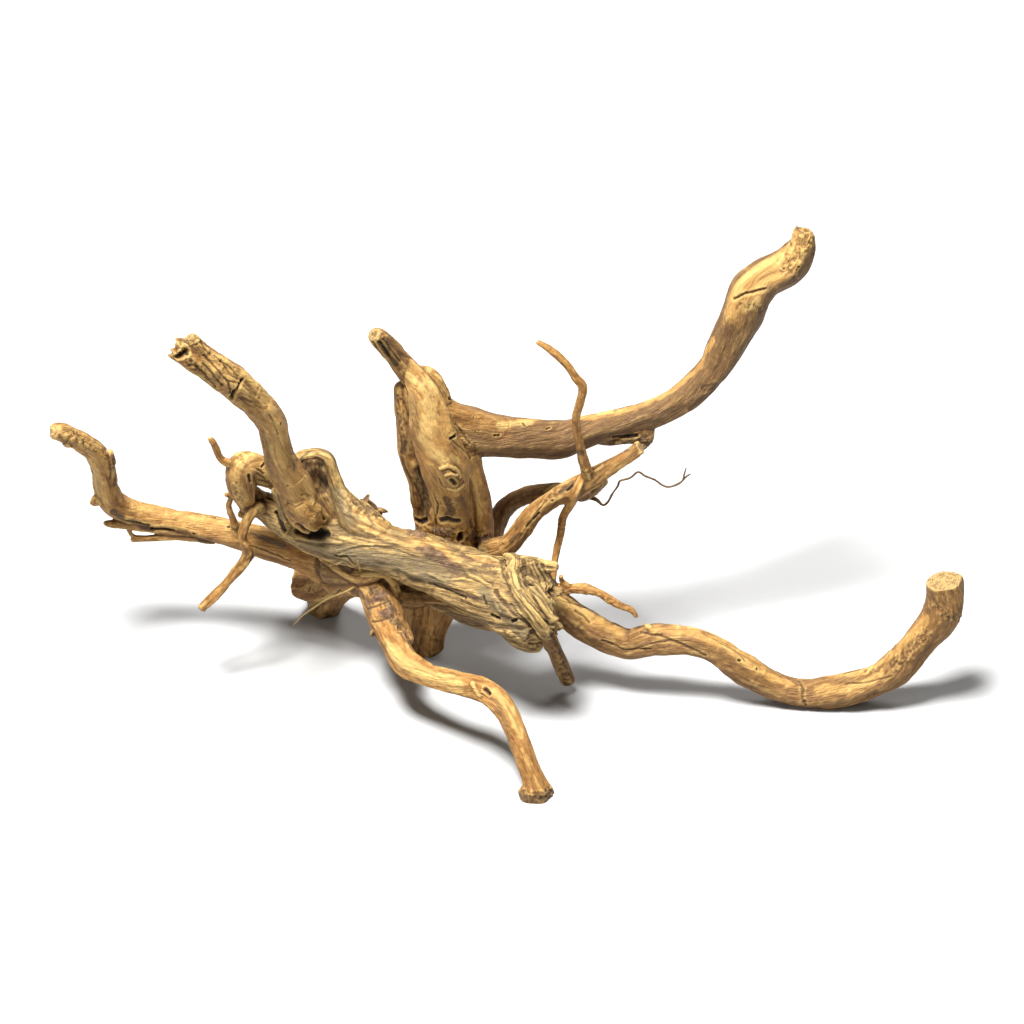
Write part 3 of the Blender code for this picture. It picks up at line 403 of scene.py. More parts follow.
# Painted highlight along the arm's top edge.
mark("fresh", 3.5, 0.0, [(5, 55), (29, 56), (53, 58), (77, 64), (96, 73), (113, 88), (120, 103)])
mark("hole", 0.9, 0.8, [(-11, 46), (-8, 46)], [(7, 53), (8, 52)], [(21, 50), (23, 51)], [(29, 56)])
mark("dusk", 3.0, 0.1, [(-8, 35), (11, 34), (29, 34), (42, 35)])
mark("dusk", 3.0, 0.4, [(107, 62), (113, 67), (120, 73), (125, 77)])
mark("dusk", 3.6, 0.5, [(116, 74), (124, 77)])
mark("crease", 1.0, 1.4, [(133, 128), (140, 131), (147, 133), (152, 134)])
mark("rough", 5.5, 0.5, [(138, 125), (144, 122), (150, 121)])
mark("rough", 8.5, 0.9, [(166, 150), (171, 157), (175, 164), (175, 170)])
mark("light", 2.6, 0.2, [(169, 163), (167, 156)], [(173, 150), (176, 157)])
mark("rough", 3.5, 0.6, [(170, 144), (172, 138)])
mark("hole", 1.0, 1.0, [(177, 171)], [(181, 155)], [(172, 147)], [(163, 146)])
mark("dusk", 3.4, 0.3, [(53, 40), (70, 38)], [(60, 46), (70, 47)], [(78, 44), (82, 39)])
mark("rough", 4.0, 0.8, [(53, 40), (70, 40), (82, 43)])
mark("shade", 6.0, 0.0, [(130, 96), (136, 106), (142, 115)], [(89, 58), (107, 66), (120, 80)])
mark("hole", 1.6, 0.9, [(61, 45), (68, 45), (75, 46)])
mark("fresh", 12.0, 0.0, [(130, 121), (136, 132), (144, 140), (156, 146), (167, 154), (174, 166)])
mark("light", 6.0, 0.0, [(133, 130), (138, 139), (149, 148), (160, 152)])
mark("light", 3.5, 0.0, [(140, 121), (147, 127)], [(-7, 52), (11, 54)])

# The lower arm: warm wood with long drying creases. It leaves the butt at the lower right, dips to
# the floor, where it is worn level, and rises to a sawn face.
LOWER_ARM = [
    (4, -28, 68, 9), (18, -24, 65, 9), (30, -23, 57, 9), (40, -25, 48, 9.6), (53, -28, 40.4, 9),
    (70, -31, 34.9, 8.7), (81, -33, 38.6, 9.3), (90, -34, 40.5, 9), (107, -37, 41.3, 8),
    (122, -39, 36.3, 7.8), (137, -41, 25.5, 8.7), (154, -43, 14.7, 8.5), (171, -44, 8, 8.6),
    (188, -45, 8.2, 9.4), (206, -45, 12.4, 10.1), (223, -44, 19.2, 10.1), (236.5, -42, 31.2, 11),
    (247, -40, 46.5, 10.5), (257.5, -37, 60.6, 11.8), (260.5, -35, 74, 12.2), (259.4, -34, 85.5, 11.2),
]
# Its dusk is partly the arm's own brown and partly painted shade.
grow(LOWER_ARM, 5, end="flat", groove=0.25, lump=0.8, wrinkle=0.4, dusk=0.55)
# Painted highlight along the arm's top edge.
mark("fresh", 4.0, 0.0, [(86, -70), (107, -72), (128, -80), (149, -96), (167, -103)],
     [(191, -98), (212, -96), (230, -84), (248, -65)])
mark("light", 3.4, 0.2, [(20, -52), (32, -55), (47, -62)])
mark("crease", 0.9, 0.9, [(38, -59), (43, -62), (47, -66)],
     [(77, -72), (89, -74), (104, -80), (116, -86)])
mark("crease", 0.7, 0.6, [(25, -47), (35, -54), (47, -58)], [(126, -79), (134, -83), (140, -89)],
     [(200, -103), (215, -102), (228, -98)])
mark("light", 2.0, 0.8, [(79, -67), (82, -69)])
mark("hole", 1.1, 1.0, [(136, -89), (137, -89)], [(147, -94)])
mark("crease", 0.9, 0.9, [(172, -101), (175, -107), (174, -112), (176, -116)])
mark("crack", 0.9, 1.2, [(195, -94), (197, -98)])
mark("rough", 6.0, 0.7, [(253, -56), (260, -61), (269, -64)], [(230, -92), (238, -83), (248, -74)])
mark("crease", 0.8, 0.7, [(54, -77), (68, -83), (83, -82)], [(107, -89), (122, -94), (134, -102)],
     [(83, -79), (95, -77)])
mark("rough", 3.0, 0.5, [(212, -96), (221, -94)], [(77, -71), (89, -73)], [(172, -102), (175, -113)])
mark("shade", 7.0, 0.0, [(248, -56), (257, -62), (269, -64)], [(35, -68), (53, -80), (77, -83)],
     [(122, -86), (140, -97), (152, -106), (170, -114)], [(254, -80), (263, -71)])
# Painted highlight along the arm's top edge.
mark("fresh", 4.5, 0.0, [(29, -54), (47, -64), (65, -72)], [(107, -71), (131, -80), (152, -94)],
     [(185, -107), (203, -107), (221, -98)])

# The horn: a thick, grey brown arm, cracked across and wrinkled along, with a torn and hollow end.
# It stands on the log's left end on a rounded lobe, with a gap left under it that is coloured near black as
# painted shade.
HORN = [
    (-117, 8, 97, 9), (-124, 1, 109, 10), (-126.3, -4, 119, 10.8), (-130, -8, 135, 10.6),
    (-137.3, -13, 156.5, 9.4), (-141, -17, 178, 8.5), (-143.5, -21, 194, 8.2), (-150.5, -26, 210, 8.5),
    (-160, -31, 225, 9.6), (-171.5, -36, 240, 10.4), (-183, -40, 253, 9.2), (-191.5, -43, 260.5, 7.8),
    (-199, -44, 265.5, 5.8),
]
HORN_LOBE = [(-130, -9, 134, 9), (-126, -11, 124, 9.5), (-121.5, -12, 119.5, 7.6)]
HORN_KNOB = [(-183, -41, 260, 5.5), (-188.5, -42, 270, 3.8)]
grow(HORN_LOBE, 5, groove=0.3, bleach=0.15, lump=0.5)
grow(HORN_KNOB, 4, groove=0.6, bleach=0.25, lump=1.2)
grow([(x, y, z, radius + 0.5) for x, y, z, radius in HORN[:8]], 6, groove=0.25, lump=0.7, bleach=0.15)
grow(HORN, 6, end="flat", groove=0.6, lump=0.9, wrinkle=1.0, bleach=0.15, tear=2.5)
mark("crack", 1.3, 2.0, [(-161, 80), (-164, 76), (-167, 71), (-169, 67)])
mark("crease", 1.0, 1.0, [(-185, 94), (-180, 90), (-175, 84), (-170, 77), (-169, 71)])
mark("crease", 0.8, 0.7, [(-178, 94), (-172, 88), (-167, 81)], [(-174, 91), (-168, 86), (-164, 82)])
mark("hole", 1.5, 1.5, [(-166, 73), (-168, 68)])
mark("crease", 0.8, 0.8, [(-190, 88), (-184, 82), (-178, 75)], [(-185, 89), (-180, 83), (-174, 76)])
mark("crease", 0.6, 0.4, [(-162, 69), (-156, 65), (-150, 62)], [(-146, 59), (-143, 53), (-140, 47)])
mark("hole", 1.0, 0.9, [(-139, 53)], [(-135, 16)], [(-150, 27), (-148, 29)])
mark("crease", 0.6, 0.4, [(-127, 10), (-124, 11), (-122, 10)], [(-135, 5), (-130, 3), (-125, 5)])
mark("light", 1.4, 0.3, [(-125, 9), (-124, 8)])
mark("bark", 1.3, 0.4, [(-132, 31), (-131, 26)])
mark("dusk", 2.4, 0.1, [(-134, 0), (-131, -2)])
mark("hole", 3.2, 3.5, [(-200, 94), (-196, 96)])
mark("rough", 4.5, 1.0, [(-203, 97), (-196, 100), (-188, 103)], [(-193, 90), (-187, 86)])
mark("light", 2.2, 0.5, [(-205, 99), (-199, 101), (-193, 101), (-188, 104)])
mark("rough", 4.0, 0.5, [(-174, 76), (-167, 68)], [(-166, 85), (-163, 80)])
# Painted highlight: the fresh band and the light strips along the horn's top edge make it paler; the shade
# mark under them is painted shade.
mark("fresh", 9.5, 0.0,
     [(-178, 92), (-163, 80), (-150, 68), (-142, 55), (-138, 40), (-133, 22), (-128, 7)])
mark("shade", 2.8, 0.0, [(-157, 60), (-150, 49), (-147, 37), (-144, 22)])
mark("light", 4.2, 0.1, [(-161, 84), (-150, 72), (-143, 61)], [(-142, 52), (-139, 40), (-136, 28)],
     [(-124, 19), (-120, 7)])

# The left arm: long and warm, bent up at an elbow, with slivers that tore loose under it and a
# curled twig beside it. It comes out under the log, from the joint over the left foot.
LEFT_ARM = [
    (-106, 12, 57, 13), (-126, 19, 64.5, 10.7), (-145, 24, 68.3, 9.6), (-166, 27, 73.5, 9),
    (-187, 29, 78, 8.1), (-206, 30, 82.5, 7), (-226, 29, 88, 7.3), (-239.6, 26, 97, 8.2),
    (-244.3, 22, 113, 7.5), (-245.4, 18, 130, 7.2), (-250.6, 12, 147, 6.6), (-259, 5, 160.6, 6),
    (-268.5, -2, 172.4, 5.8), (-272.6, -6, 176, 4.6),
]
LEFT_ARM_SPUR = [(-242, 14, 138, 4), (-241.4, 12, 146.6, 2.5)]
LEFT_ARM_ELBOW = [(-243, 22, 106, 5.5), (-249.5, 22, 104, 4.4), (-252.5, 22, 101.5, 2.6)]
LEFT_ARM_LUMP = [(-264, -3, 170, 4), (-266.4, -3, 165.5, 3), (-266, -3, 163, 1.8)]
LEFT_ARM_SLIVER = [
    (-196, 27, 76.5, 3.6), (-214, 26, 78.8, 3.4), (-230, 25, 82.3, 3), (-244, 24, 84.2, 2.2),
    (-246.5, 24, 84.6, 1.2),
]
LEFT_ARM_SPLINT = [
    (-181, 27, 69.7, 3.3), (-202, 26, 72.7, 2.5), (-217, 25, 72.6, 2.2), (-229.5, 25, 71.5, 1.8),
]
LEFT_ARM_SPLINTER = [(-220, 25, 72.5, 1.8), (-229, 25, 73.5, 1.6), (-232, 25, 79, 1.5)]
CURLED_TWIG = [
    (-172.4, 15, 113, 1.5), (-169.4, 16, 110, 1.6), (-170.8, 17, 103.7, 1.8), (-170, 17, 98, 2),
    (-168.5, 21, 90, 2.1), (-167, 25, 80, 2.5),
]
grow(LEFT_ARM, 5, groove=0.25, lump=0.7, wrinkle=0.3)
grow(LEFT_ARM_SPUR, 4)
grow(LEFT_ARM_ELBOW, 4)
grow(LEFT_ARM_LUMP, 4, dusk=0.5)
grow(LEFT_ARM_SLIVER, 4, groove=0.4, dusk=0.2)
grow(LEFT_ARM_SPLINT, 4, groove=0.4, dusk=0.1)
grow(LEFT_ARM_SPLINTER, 4, groove=0.1)
grow(CURLED_TWIG, 4, groove=0.1)
# Painted highlight along the top of the arm's level part.
mark("fresh", 7.0, 0.0, [(-230, 6), (-208, 1), (-187, -5), (-166, -11)])
mark("light", 2.0, 0.6, [(-266, 40), (-265, 38)])
mark("hole", 0.8, 0.7, [(-260, 46)], [(-257, 41)], [(-262, 40)], [(-254, 38)], [(-258, 49)], [(-249, 36)])
mark("rough", 4.5, 0.5, [(-264, 47), (-257, 42), (-252, 36)])
mark("crack", 1.2, 1.7, [(-234, -5), (-227, -7), (-218, -8)], [(-216, -10), (-209, -10), (-203, -11)])
mark("hole", 1.3, 1.1, [(-191, -13)], [(-170, -9)])
mark("crease", 0.8, 0.7, [(-243, 36), (-241, 28), (-241, 19)], [(-157, -20), (-145, -24), (-133, -29)])
mark("dusk", 2.4, 0.1, [(-187, -17), (-174, -20)], [(-156, -12), (-146, -17), (-137, -20)])
mark("dusk", 1.8, 0.1, [(-239, 34), (-238, 25), (-238, 16)])
mark("dusk", 3.6, 0.6, [(-240, 0), (-233, -5), (-224, -8), (-216, -11)])
mark("light", 4.0, 0.1, [(-252, 31), (-250, 22), (-249, 13), (-247, 7)])
mark("light", 3.0, 0.1, [(-272, 50), (-268, 46)], [(-247, 40), (-252, 43)])
mark("fresh", 7.0, 0.0, [(-271, 49), (-259, 44), (-250, 32), (-248, 19), (-246, 8)])
mark("shade", 5.0, 0.0, [(-211, -11), (-193, -14), (-178, -17)], [(-178, -20), (-151, -26), (-127, -36)])

# The left foot: a brown stump behind the log with rough end grain. It grew down from the joint
# under the log, and its heel is worn level, so that it helps the root to stand.
LEFT_FOOT = [(-96, 20, 48, 13), (-108, 32, 34, 13.2), (-120, 40, 26, 11.8), (-131.5, 44, 25, 10)]
LEFT_FOOT_HEEL = [(-104, 28, 37, 11.5), (-113.5, 45, 11, 10.8), (-115.5, 49, 0, 9.2)]
grow(LEFT_FOOT, 7, end="flat", groove=0.35, dusk=0.36)
grow(LEFT_FOOT_HEEL, 7, end="flat", groove=0.35, dusk=0.4)
mark("crease", 0.8, 0.7, [(-122, -48), (-121, -45)], [(-118, -59), (-115, -57)],
     [(-109, -52), (-103, -47)])
mark("rough", 3.5, 0.4, [(-131, -41), (-128, -52), (-120, -56)])
mark("light", 2.0, 0.0, [(-124, -57), (-116, -53), (-108, -50)])

# The crook: a hooked root with pale, flaking skin at the log's left end, where both of its ends
# grew in; a thin twig rises from its bend.
CROOK = [
    (-141, 15.5, 122.5, 6.2), (-143.5, 15, 125.5, 7), (-150.5, 12, 132.5, 8.2), (-159, 8, 140, 9.2),
    (-163, 5, 138, 9), (-162.6, 5, 125, 8.4), (-160.5, 7, 114, 5.8), (-158.5, 11, 105, 4.4),
    (-151, 14, 103, 6),
]
CROOK_KNOT = [(-159.5, 10, 106, 3.5), (-162.5, 9, 102, 2.8)]
CROOK_TWIG = [
    (-166, 5, 142, 3), (-173.5, 3, 147.5, 2.4), (-176.2, 2, 154, 2.3), (-178, 1, 160.5, 2.2),
    (-180.5, 0, 165.8, 1.8),
]
grow(CROOK, 5, groove=0.3, bleach=0.3)
grow(CROOK_KNOT, 4, dusk=0.3)
grow(CROOK_TWIG, 4, groove=0.1)
mark("hole", 1.2, 1.2, [(-158, 22), (-157, 18)], [(-164, -2)])
mark("crease", 0.8, 0.8, [(-153, 26), (-149, 23)], [(-153, 23), (-148, 19)], [(-152, 19), (-146, 17)])
mark("rough", 4.5, 0.5, [(-167, 31), (-161, 34)], [(-166, 16), (-163, 7)])
mark("light", 2.4, 0.3, [(-150, 28), (-146, 20)], [(-167, 34), (-161, 36)])
mark("fresh", 7.0, 0.0, [(-150, 33), (-161, 31), (-166, 19), (-162, 6)])
mark("light", 3.6, 0.1, [(-155, 34), (-162, 29)], [(-163, 14), (-160, 7)])

# The hanging root: a thin, knotty root of warm wood. It drops from under the crook, passes in
# front of the left arm and ends in the air.
HANGING_ROOT = [
    (-151, 8, 109, 3.5), (-156, 2, 110, 4), (-160.5, -4, 104, 3.3), (-162, -7, 96, 2.7),
    (-158.4, -9, 89, 4), (-161.8, -11, 81, 3.6), (-170, -14, 71, 2.9), (-178.4, -17, 61.4, 3.2),
    (-187, -21, 54.6, 2.6),
]
grow(HANGING_ROOT, 4, groove=0.3, lump=1.2, bleach=0.1)

# The front leg: pale warm wood, dark and scaly with bark where it comes forward from under the log.
# It bends twice and comes down to the floor, where it stands on a flared, rough end.
FRONT_LEG = [
    (-86, -4, 60, 9), (-80, -14, 55, 11.4), (-75.2, -28, 49, 10.9), (-70, -42, 43.5, 8.8),
    (-63.6, -55, 39.7, 8.5), (-49, -68, 39.2, 7.1), (-32, -80, 42.5, 7), (-19, -89, 45.2, 7.8),
    (-9.6, -98, 45.2, 7.6), (-2.2, -107, 39.2, 6.7), (4.2, -117, 28.2, 6.3), (9.6, -126.5, 16, 6.5),
    (12.6, -130.5, 9, 6.8), (14, -132.3, 5, 8), (14.2, -132.5, 2.2, 10.2), (14.2, -132.5, -2, 10.4),
]
FRONT_LEG_BURL = [(-67, -30, 46, 5), (-63, -38, 43, 4.5)]
grow(FRONT_LEG, 5, end="flat", groove=0.2, lump=0.7, wrinkle=0.3)
FRONT_LEG_HOOK = [(-77, -33, 48, 2.2), (-81.5, -33, 48, 1.5), (-84.4, -33, 45.2, 1.2), (-85, -33, 42, 1)]
grow(FRONT_LEG_HOOK, 3, dusk=1.0)
grow(FRONT_LEG_BURL, 5, dusk=0.3)
mark("rough", 6.5, 0.7, [(-83, -49), (-76, -54), (-70, -61), (-65, -70)])
mark("dusk", 4.0, 0.1, [(-84, -47), (-78, -52), (-72, -56)], [(-74, -61), (-68, -67)],
     [(-88, -53), (-85, -60)])
mark("bark", 2.6, 0.3, [(-83, -53), (-77, -49)], [(-77, -61), (-71, -58)])
mark("crease", 0.9, 0.5, [(-86, -58), (-80, -56), (-74, -53)], [(-84, -66), (-77, -65), (-70, -62)])
mark("rough", 4.5, 1.0, [(-67, -70), (-62, -77)])
mark("bark", 2.0, 0.4, [(-65, -72), (-62, -78)])
mark("light", 6.5, 0.1, [(-73, -83), (-66, -90), (-55, -96), (-43, -101), (-32, -105)])
mark("light", 3.0, 0.1, [(-10, -107), (-1, -119), (5, -134)])
mark("crease", 0.5, 0.3, [(-58, -94), (-49, -97), (-43, -100)])
mark("light", 2.2, 0.7, [(-24, -103), (-20, -110)])
mark("hole", 1.9, 2.0, [(-16, -106), (-14, -109)])
mark("shade", 3.0, 0.0, [(-9, -113), (-5, -125), (-1, -140), (4, -155)])
mark("rough", 4.5, 1.3, [(5, -167), (11, -169), (18, -170), (23, -168)])
mark("dusk", 5.0, 0.0, [(4, -169), (11, -172), (17, -172), (25, -169)])
mark("hole", 0.8, 0.7, [(-68, -99)], [(10, -140)])

# The middle arm and what grows from it: tan wood with a sawn end, a dark loop root that bends back
# to it from behind, a twig that rises from it and one that drops from it to the butt.
MIDDLE_ARM = [
    (-15, -6, 87, 6.8), (-3.5, -8, 92, 6.7), (5, -9, 103.3, 6.3), (13, -10, 117.5, 5.8),
    (24.5, -11, 129, 5.4), (37, -12, 137.5, 6.3), (46.3, -12, 144, 5.9), (56, -12, 151.5, 5.3),
    (67, -12, 160, 4.6), (77, -12, 168, 4),
]
LOOP_ROOT = [
    (-13, 18, 79, 7), (-9, 24, 86, 6.3), (-3, 29, 94, 5.6), (8, 32, 99, 5.4), (20, 31, 103, 5.1),
    (32, 24, 108.5, 4.6), (42, 12, 115, 4), (49, 0, 128, 3.7), (54, -8, 140, 3.6),
]
RISING_TWIG = [
    (46, -13, 146, 4), (43, -16, 160, 3.3), (40, -18, 177, 2.7), (38, -20, 195, 2.5),
    (40.3, -21, 208, 2.6), (42, -21, 219, 2.7), (37.4, -20, 226, 2.5), (32.7, -19, 234, 2.6),
    (27.2, -18, 240, 2.5), (20.3, -16, 245, 2.1), (15.3, -15, 248, 1.6),
]
BRIDGE_TWIG = [
    (42.5, -13.8, 147.6, 2.6), (39, -17.1, 140.6, 3), (36, -15, 130, 2.9), (30.8, -8, 113.5, 2.7),
    (29.2, -6, 99, 2.4), (26.8, -10, 89.5, 2.3), (25, -16, 80, 2.2), (24, -21, 70.5, 2.5),
]
grow(MIDDLE_ARM, 5, end="flat", groove=0.4, bleach=0.1, dusk=0.1)
grow(LOOP_ROOT, 4, groove=0.4, dusk=0.7)
grow(RISING_TWIG, 4, groove=0.1)
grow(BRIDGE_TWIG, 4, groove=0.1)
mark("hole", 1.1, 1.0, [(38, 27), (40, 28)], [(54, 36)], [(13, -4), (16, -1)], [(24, 7)])
mark("crease", 0.8, 0.8, [(9, -9), (14, -1), (20, 7)], [(29, 18), (38, 24)], [(47, 30), (58, 37)])
mark("rough", 3.0, 0.6, [(17, 4), (29, 14)], [(43, 26), (48, 20)])
mark("light", 1.6, 0.4, [(44, 25), (47, 20)], [(50, 25), (54, 28)])
mark("hole", 1.2, 1.2, [(33, 13), (36, 16)])
mark("dusk", 2.2, 0.1, [(-1, -18), (5, -13)], [(29, 12), (36, 17)])
mark("light", 2.4, 0.2, [(20, 12), (30, 20)], [(56, 36), (71, 39)])

# The side twig and the peg root: a short curved twig that lies along the lower arm, and a short
# dark root that grew down from under the butt and ends just above the floor.
SIDE_TWIG = [
    (24, -22, 70, 3.5), (34, -22, 69.5, 3.2), (43, -24, 71.5, 3.3), (52, -26, 69.6, 2.6),
    (60, -28, 65.3, 2.8), (66.5, -30, 62.5, 2.4), (72, -31, 60.5, 1.9), (74.5, -32, 57.2, 1.5),
]
SIDE_TWIG_SPUR = [(33, -22, 72, 2.2), (29.6, -22, 76.5, 1.6), (29.6, -23, 80, 1.5)]
PEG_ROOT = [
    (16, -44, 64, 6.5), (20, -42, 52, 5.5), (25.6, -40, 37, 4.5), (29.2, -37, 24, 4.6),
    (33.7, -33, 9, 4.4),
]
grow(SIDE_TWIG, 4, groove=0.1, lump=1.1)
grow(SIDE_TWIG_SPUR, 4, groove=0.1)
grow(PEG_ROOT, 5, groove=0.4, dusk=0.6)
mark("rough", 2.4, 0.5, [(30, -47), (41, -48), (53, -51), (68, -56)])
mark("rough", 4.5, 0.8, [(26, -83), (30, -92), (34, -101)])


# The hair roots: two roots hardly thicker than a thread, a brown forked one that waves out from
# under the middle arm and a pale one at the left foot. They are made at the end, and not grown in.
ROOT_HAIR = [
    (43.5, 11, 115, 1.7), (50.4, 8, 114.6, 1.3), (54.6, 7, 111, 0.8), (57.6, 6, 114, 0.75),
    (60.6, 5, 121.5, 0.7), (63.6, 5, 126.8, 0.7), (64.8, 4, 131.3, 0.7), (70.8, 3, 134.3, 0.65),
    (75.6, 3, 138.8, 0.65), (79.8, 3, 135.8, 0.65), (85.8, 3, 132.8, 0.65), (90, 2, 129.8, 0.65),
    (94.2, 2, 128.3, 0.65), (99.6, 2, 130.5, 0.65), (102.6, 2, 133.5, 0.6), (103.2, 2, 137.3, 0.55),
    (104.4, 2, 142.5, 0.4),
]
ROOT_HAIR_FORK = [(102.4, 2, 133.2, 0.55), (105, 2, 136.5, 0.5), (107, 2, 138, 0.4)]
STUMP_HAIR = [
    (-94.2, -9, 62.3, 0.7), (-100, -10, 58.6, 0.6), (-112, -4, 48, 0.6), (-121.2, 6, 33, 0.55),
    (-127.2, 11, 24, 0.5), (-133.2, 16, 12.8, 0.35),
]


# The back: cracks, knots and worn spots of the same kinds as on the front, on the trunk, the log
# and the arms. Their places are a guess, as only the front could be seen.
mark("crack", 1.0, 1.3, [(-44, 14), (-46, -5), (-43, -25), (-46, -44)], [(-137, 44), (-128, 47)],
     side=BACK)
mark("crease", 0.9, 0.9, [(-53, 2), (-55, -20), (-52, -42)], [(-33, -38), (-36, -60), (-40, -84)],
     [(20, 4), (45, 7), (70, 8), (88, 10)], [(-92, -12), (-70, -15), (-48, -18)], side=BACK)
mark("crease", 0.8, 0.7, [(-128, -58), (-160, -55), (-198, -51)], [(74, -52), (104, -44), (130, -50)],
     [(-137, 28), (-142, 58), (-150, 84)], [(-104, -84), (-106, -98)], [(115, 22), (128, 36), (138, 52)],
     side=BACK)
mark("hole", 1.7, 1.5, [(-36, -14), (-34, -17)], [(56, 13), (58, 13)], [(-145, 72)], [(150, -60)],
     side=BACK)
mark("hole", 1.1, 1.0, [(-180, -54)], [(-58, -22), (-55, -22)], [(100, 14)], [(228, -54)], [(-48, -70)],
     side=BACK)
mark("light", 2.4, 0.7, [(-40, -9), (-34, -9), (-30, -14)], [(53, 17), (60, 17)], side=BACK)
mark("rough", 6.0, 0.8, [(-52, -95), (-44, -101), (-36, -96)], [(225, -56), (240, -46)],
     [(-97, -78), (-104, -88)], [(-252, 0), (-246, -24)], side=BACK)
mark("bark", 3.0, 0.4, [(-48, -58), (-45, -70)], [(-104, -98), (-110, -102)], side=BACK)
mark("shade", 6.0, 0.0, [(-50, -88), (-44, -100)], [(180, -66), (206, -63)],
     [(83, 8), (110, 15), (125, 30)], [(-58, 0), (-60, -30)], side=BACK)
mark("fresh", 7.0, 0.0, [(-40, 10), (-42, -12), (-44, -34)], [(-150, -53), (-185, -50)],
     [(100, -42), (140, -52)], [(138, 44), (145, 60)], [(-138, 40), (-143, 66)], side=BACK)
mark("grey", 6.0, 0.1, [(-112, -14), (-92, -16)], side=BACK)


# The wood grown together: every strand becomes a closed sleeve, and the sleeves are fused to one
# skin, so that the forks flow into each other as they grew.
VOXEL = 0.75  # mm, the finest thing that the fused skin shows
RING = 36  # points round a strand
RIDGE, OVAL = 0.045, 0.03  # height of a strand's ridges and of its oval, as shares of its radius
RIDGE_TURN, OVAL_TURN = 0.03, 0.013  # radians for each mm that they turn round the strand
UNEVEN, FINELY_UNEVEN = 0.075, 0.045  # height of its broad and of its small lumps, as shares
DOME = ((0.3, 0.92), (0.52, 0.74), (0.66, 0.42))  # rings of a round end: radii out, share of the width


def lattice(ix, iy, iz, seed):
    """A number from -1 to 1 for each corner of a lattice."""
    mixed = (ix * 73856093) ^ (iy * 19349663) ^ (iz * 83492791) ^ (seed * 2654435761 % 2147483647)
    mixed = (mixed ^ (mixed >> 13)) * 1274126177 & 0x7FFFFFFF
    mixed = (mixed ^ (mixed >> 11)) * 668265263 & 0x7FFFFFFF
    return (mixed >> 7 & 0xFFFF) / 32767.5 - 1


def noise(points, seed):
    """Smooth noise from -1 to 1 with bumps one unit wide."""
    floor_of = np.floor(points)
    part = points - floor_of
    part = part * part * (3 - 2 * part)
    ix, iy, iz = floor_of.astype(np.int64).T
    total = np.zeros(len(points))
    for dx in (0, 1):
        for dy in (0, 1):
            for dz in (0, 1):
                share = np.where(dx, part[:, 0], 1 - part[:, 0])
                share = share * np.where(dy, part[:, 1], 1 - part[:, 1])
                share = share * np.where(dz, part[:, 2], 1 - part[:, 2])
                total += share * lattice(ix + dx, iy + dy, iz + dz, seed)
    return total


def bumps(place, width, length, seed):
    """Smooth noise whose bumps have a width across the grain and a length along it, in mm."""
    return noise(place / (width, width, length), seed)


def smoothstep(low, high, value):
    """A share that rises softly from 0 at the low end to 1 at the high end."""
    t = np.clip((value - low) / (high - low), 0, 1)
    return t * t * (3 - 2 * t)


def sleeve(strand):
    """Vertices and faces of one strand's closed sleeve."""
    angle = np.arange(RING) / RING * 2 * math.pi
    along = strand["along"]
    radius = strand["radius"]
    centre = strand["centre"]
    wave = strand["ridges"] * angle[None, :] + along[:, None] * RIDGE_TURN
    lobes = RIDGE * np.cos(wave) + OVAL * np.cos(2 * angle[None, :] + along[:, None] * OVAL_TURN)
    grid = np.stack(np.broadcast_arrays(np.cos(angle)[None, :] * 1.3, np.sin(angle)[None, :] * 1.3,
                                        along[:, None] / (radius.mean() * 2)), axis=2).reshape(-1, 3)
    uneven = noise(grid, strand["seed"]) * UNEVEN
    uneven += noise(grid * 2.1, strand["seed"] + 1) * FINELY_UNEVEN
    reach = radius[:, None] * (1 + lobes + uneven.reshape(len(along), RING))
    ring = (centre[:, None, :] + strand["side"][:, None, :] * (np.cos(angle)[None, :] * reach)[:, :, None]
            + strand["other"][:, None, :] * (np.sin(angle)[None, :] * reach)[:, :, None])
    rows = [ring[index] for index in range(len(along))]
    for lift, keep in DOME:
        middle = centre[0] - strand["heading"][0] * radius[0] * lift * 0.9
        rows.insert(0, middle + (ring[0] - centre[0]) * keep)
        if strand["end"] == "round":
            middle = centre[-1] + strand["heading"][-1] * radius[-1] * lift
            rows.append(middle + (ring[-1] - centre[-1]) * keep)
    verts = np.vstack(rows)
    count = len(rows)
    faces = []
    for row in range(count - 1):
        for column in range(RING):
            following = (column + 1) % RING
            faces.append((row * RING + column, row * RING + following,
                          (row + 1) * RING + following, (row + 1) * RING + column))
    faces.append(tuple(range(RING - 1, -1, -1)))
    faces.append(tuple((count - 1) * RING + column for column in range(RING)))
    return verts, faces


def as_modified(item):
    """A new mesh of an object as its modifiers leave it."""
    return bpy.data.meshes.new_from_object(item.evaluated_get(bpy.context.evaluated_depsgraph_get()))


all_verts = []
all_faces = []
for strand in STRANDS:
    verts, faces = sleeve(strand)
    offset = sum(len(block) for block in all_verts)
    all_verts.append(verts)
    all_faces += [tuple(corner + offset for corner in face) for face in faces]
sleeves = bpy.data.meshes.new("sleeves")
sleeves.from_pydata(np.vstack(all_verts) * MM, [], all_faces)
skin = bpy.data.objects.new("skin", sleeves)
bpy.context.scene.collection.objects.link(skin)
fuse = skin.modifiers.new("fuse", "REMESH")
fuse.mode = "VOXEL"
fuse.voxel_size = VOXEL * MM
settle = skin.modifiers.new("settle", "SMOOTH")
settle.factor = 0.5
settle.iterations = 3
bpy.context.view_layer.update()
fused = as_modified(skin)
skin.modifiers.clear()
skin.data = fused


# The grain: for each point of the skin, the strand that it lies on and where on it, so that
# grooves, fibres and cracks can follow the wood round every bend and through the forks.
def read(items, word):
    """A mesh's places or directions, one row each."""
    values = np.zeros(len(items) * 3, np.float32)
    items.foreach_get(word, values)
    return values.reshape(-1, 3).astype(float)


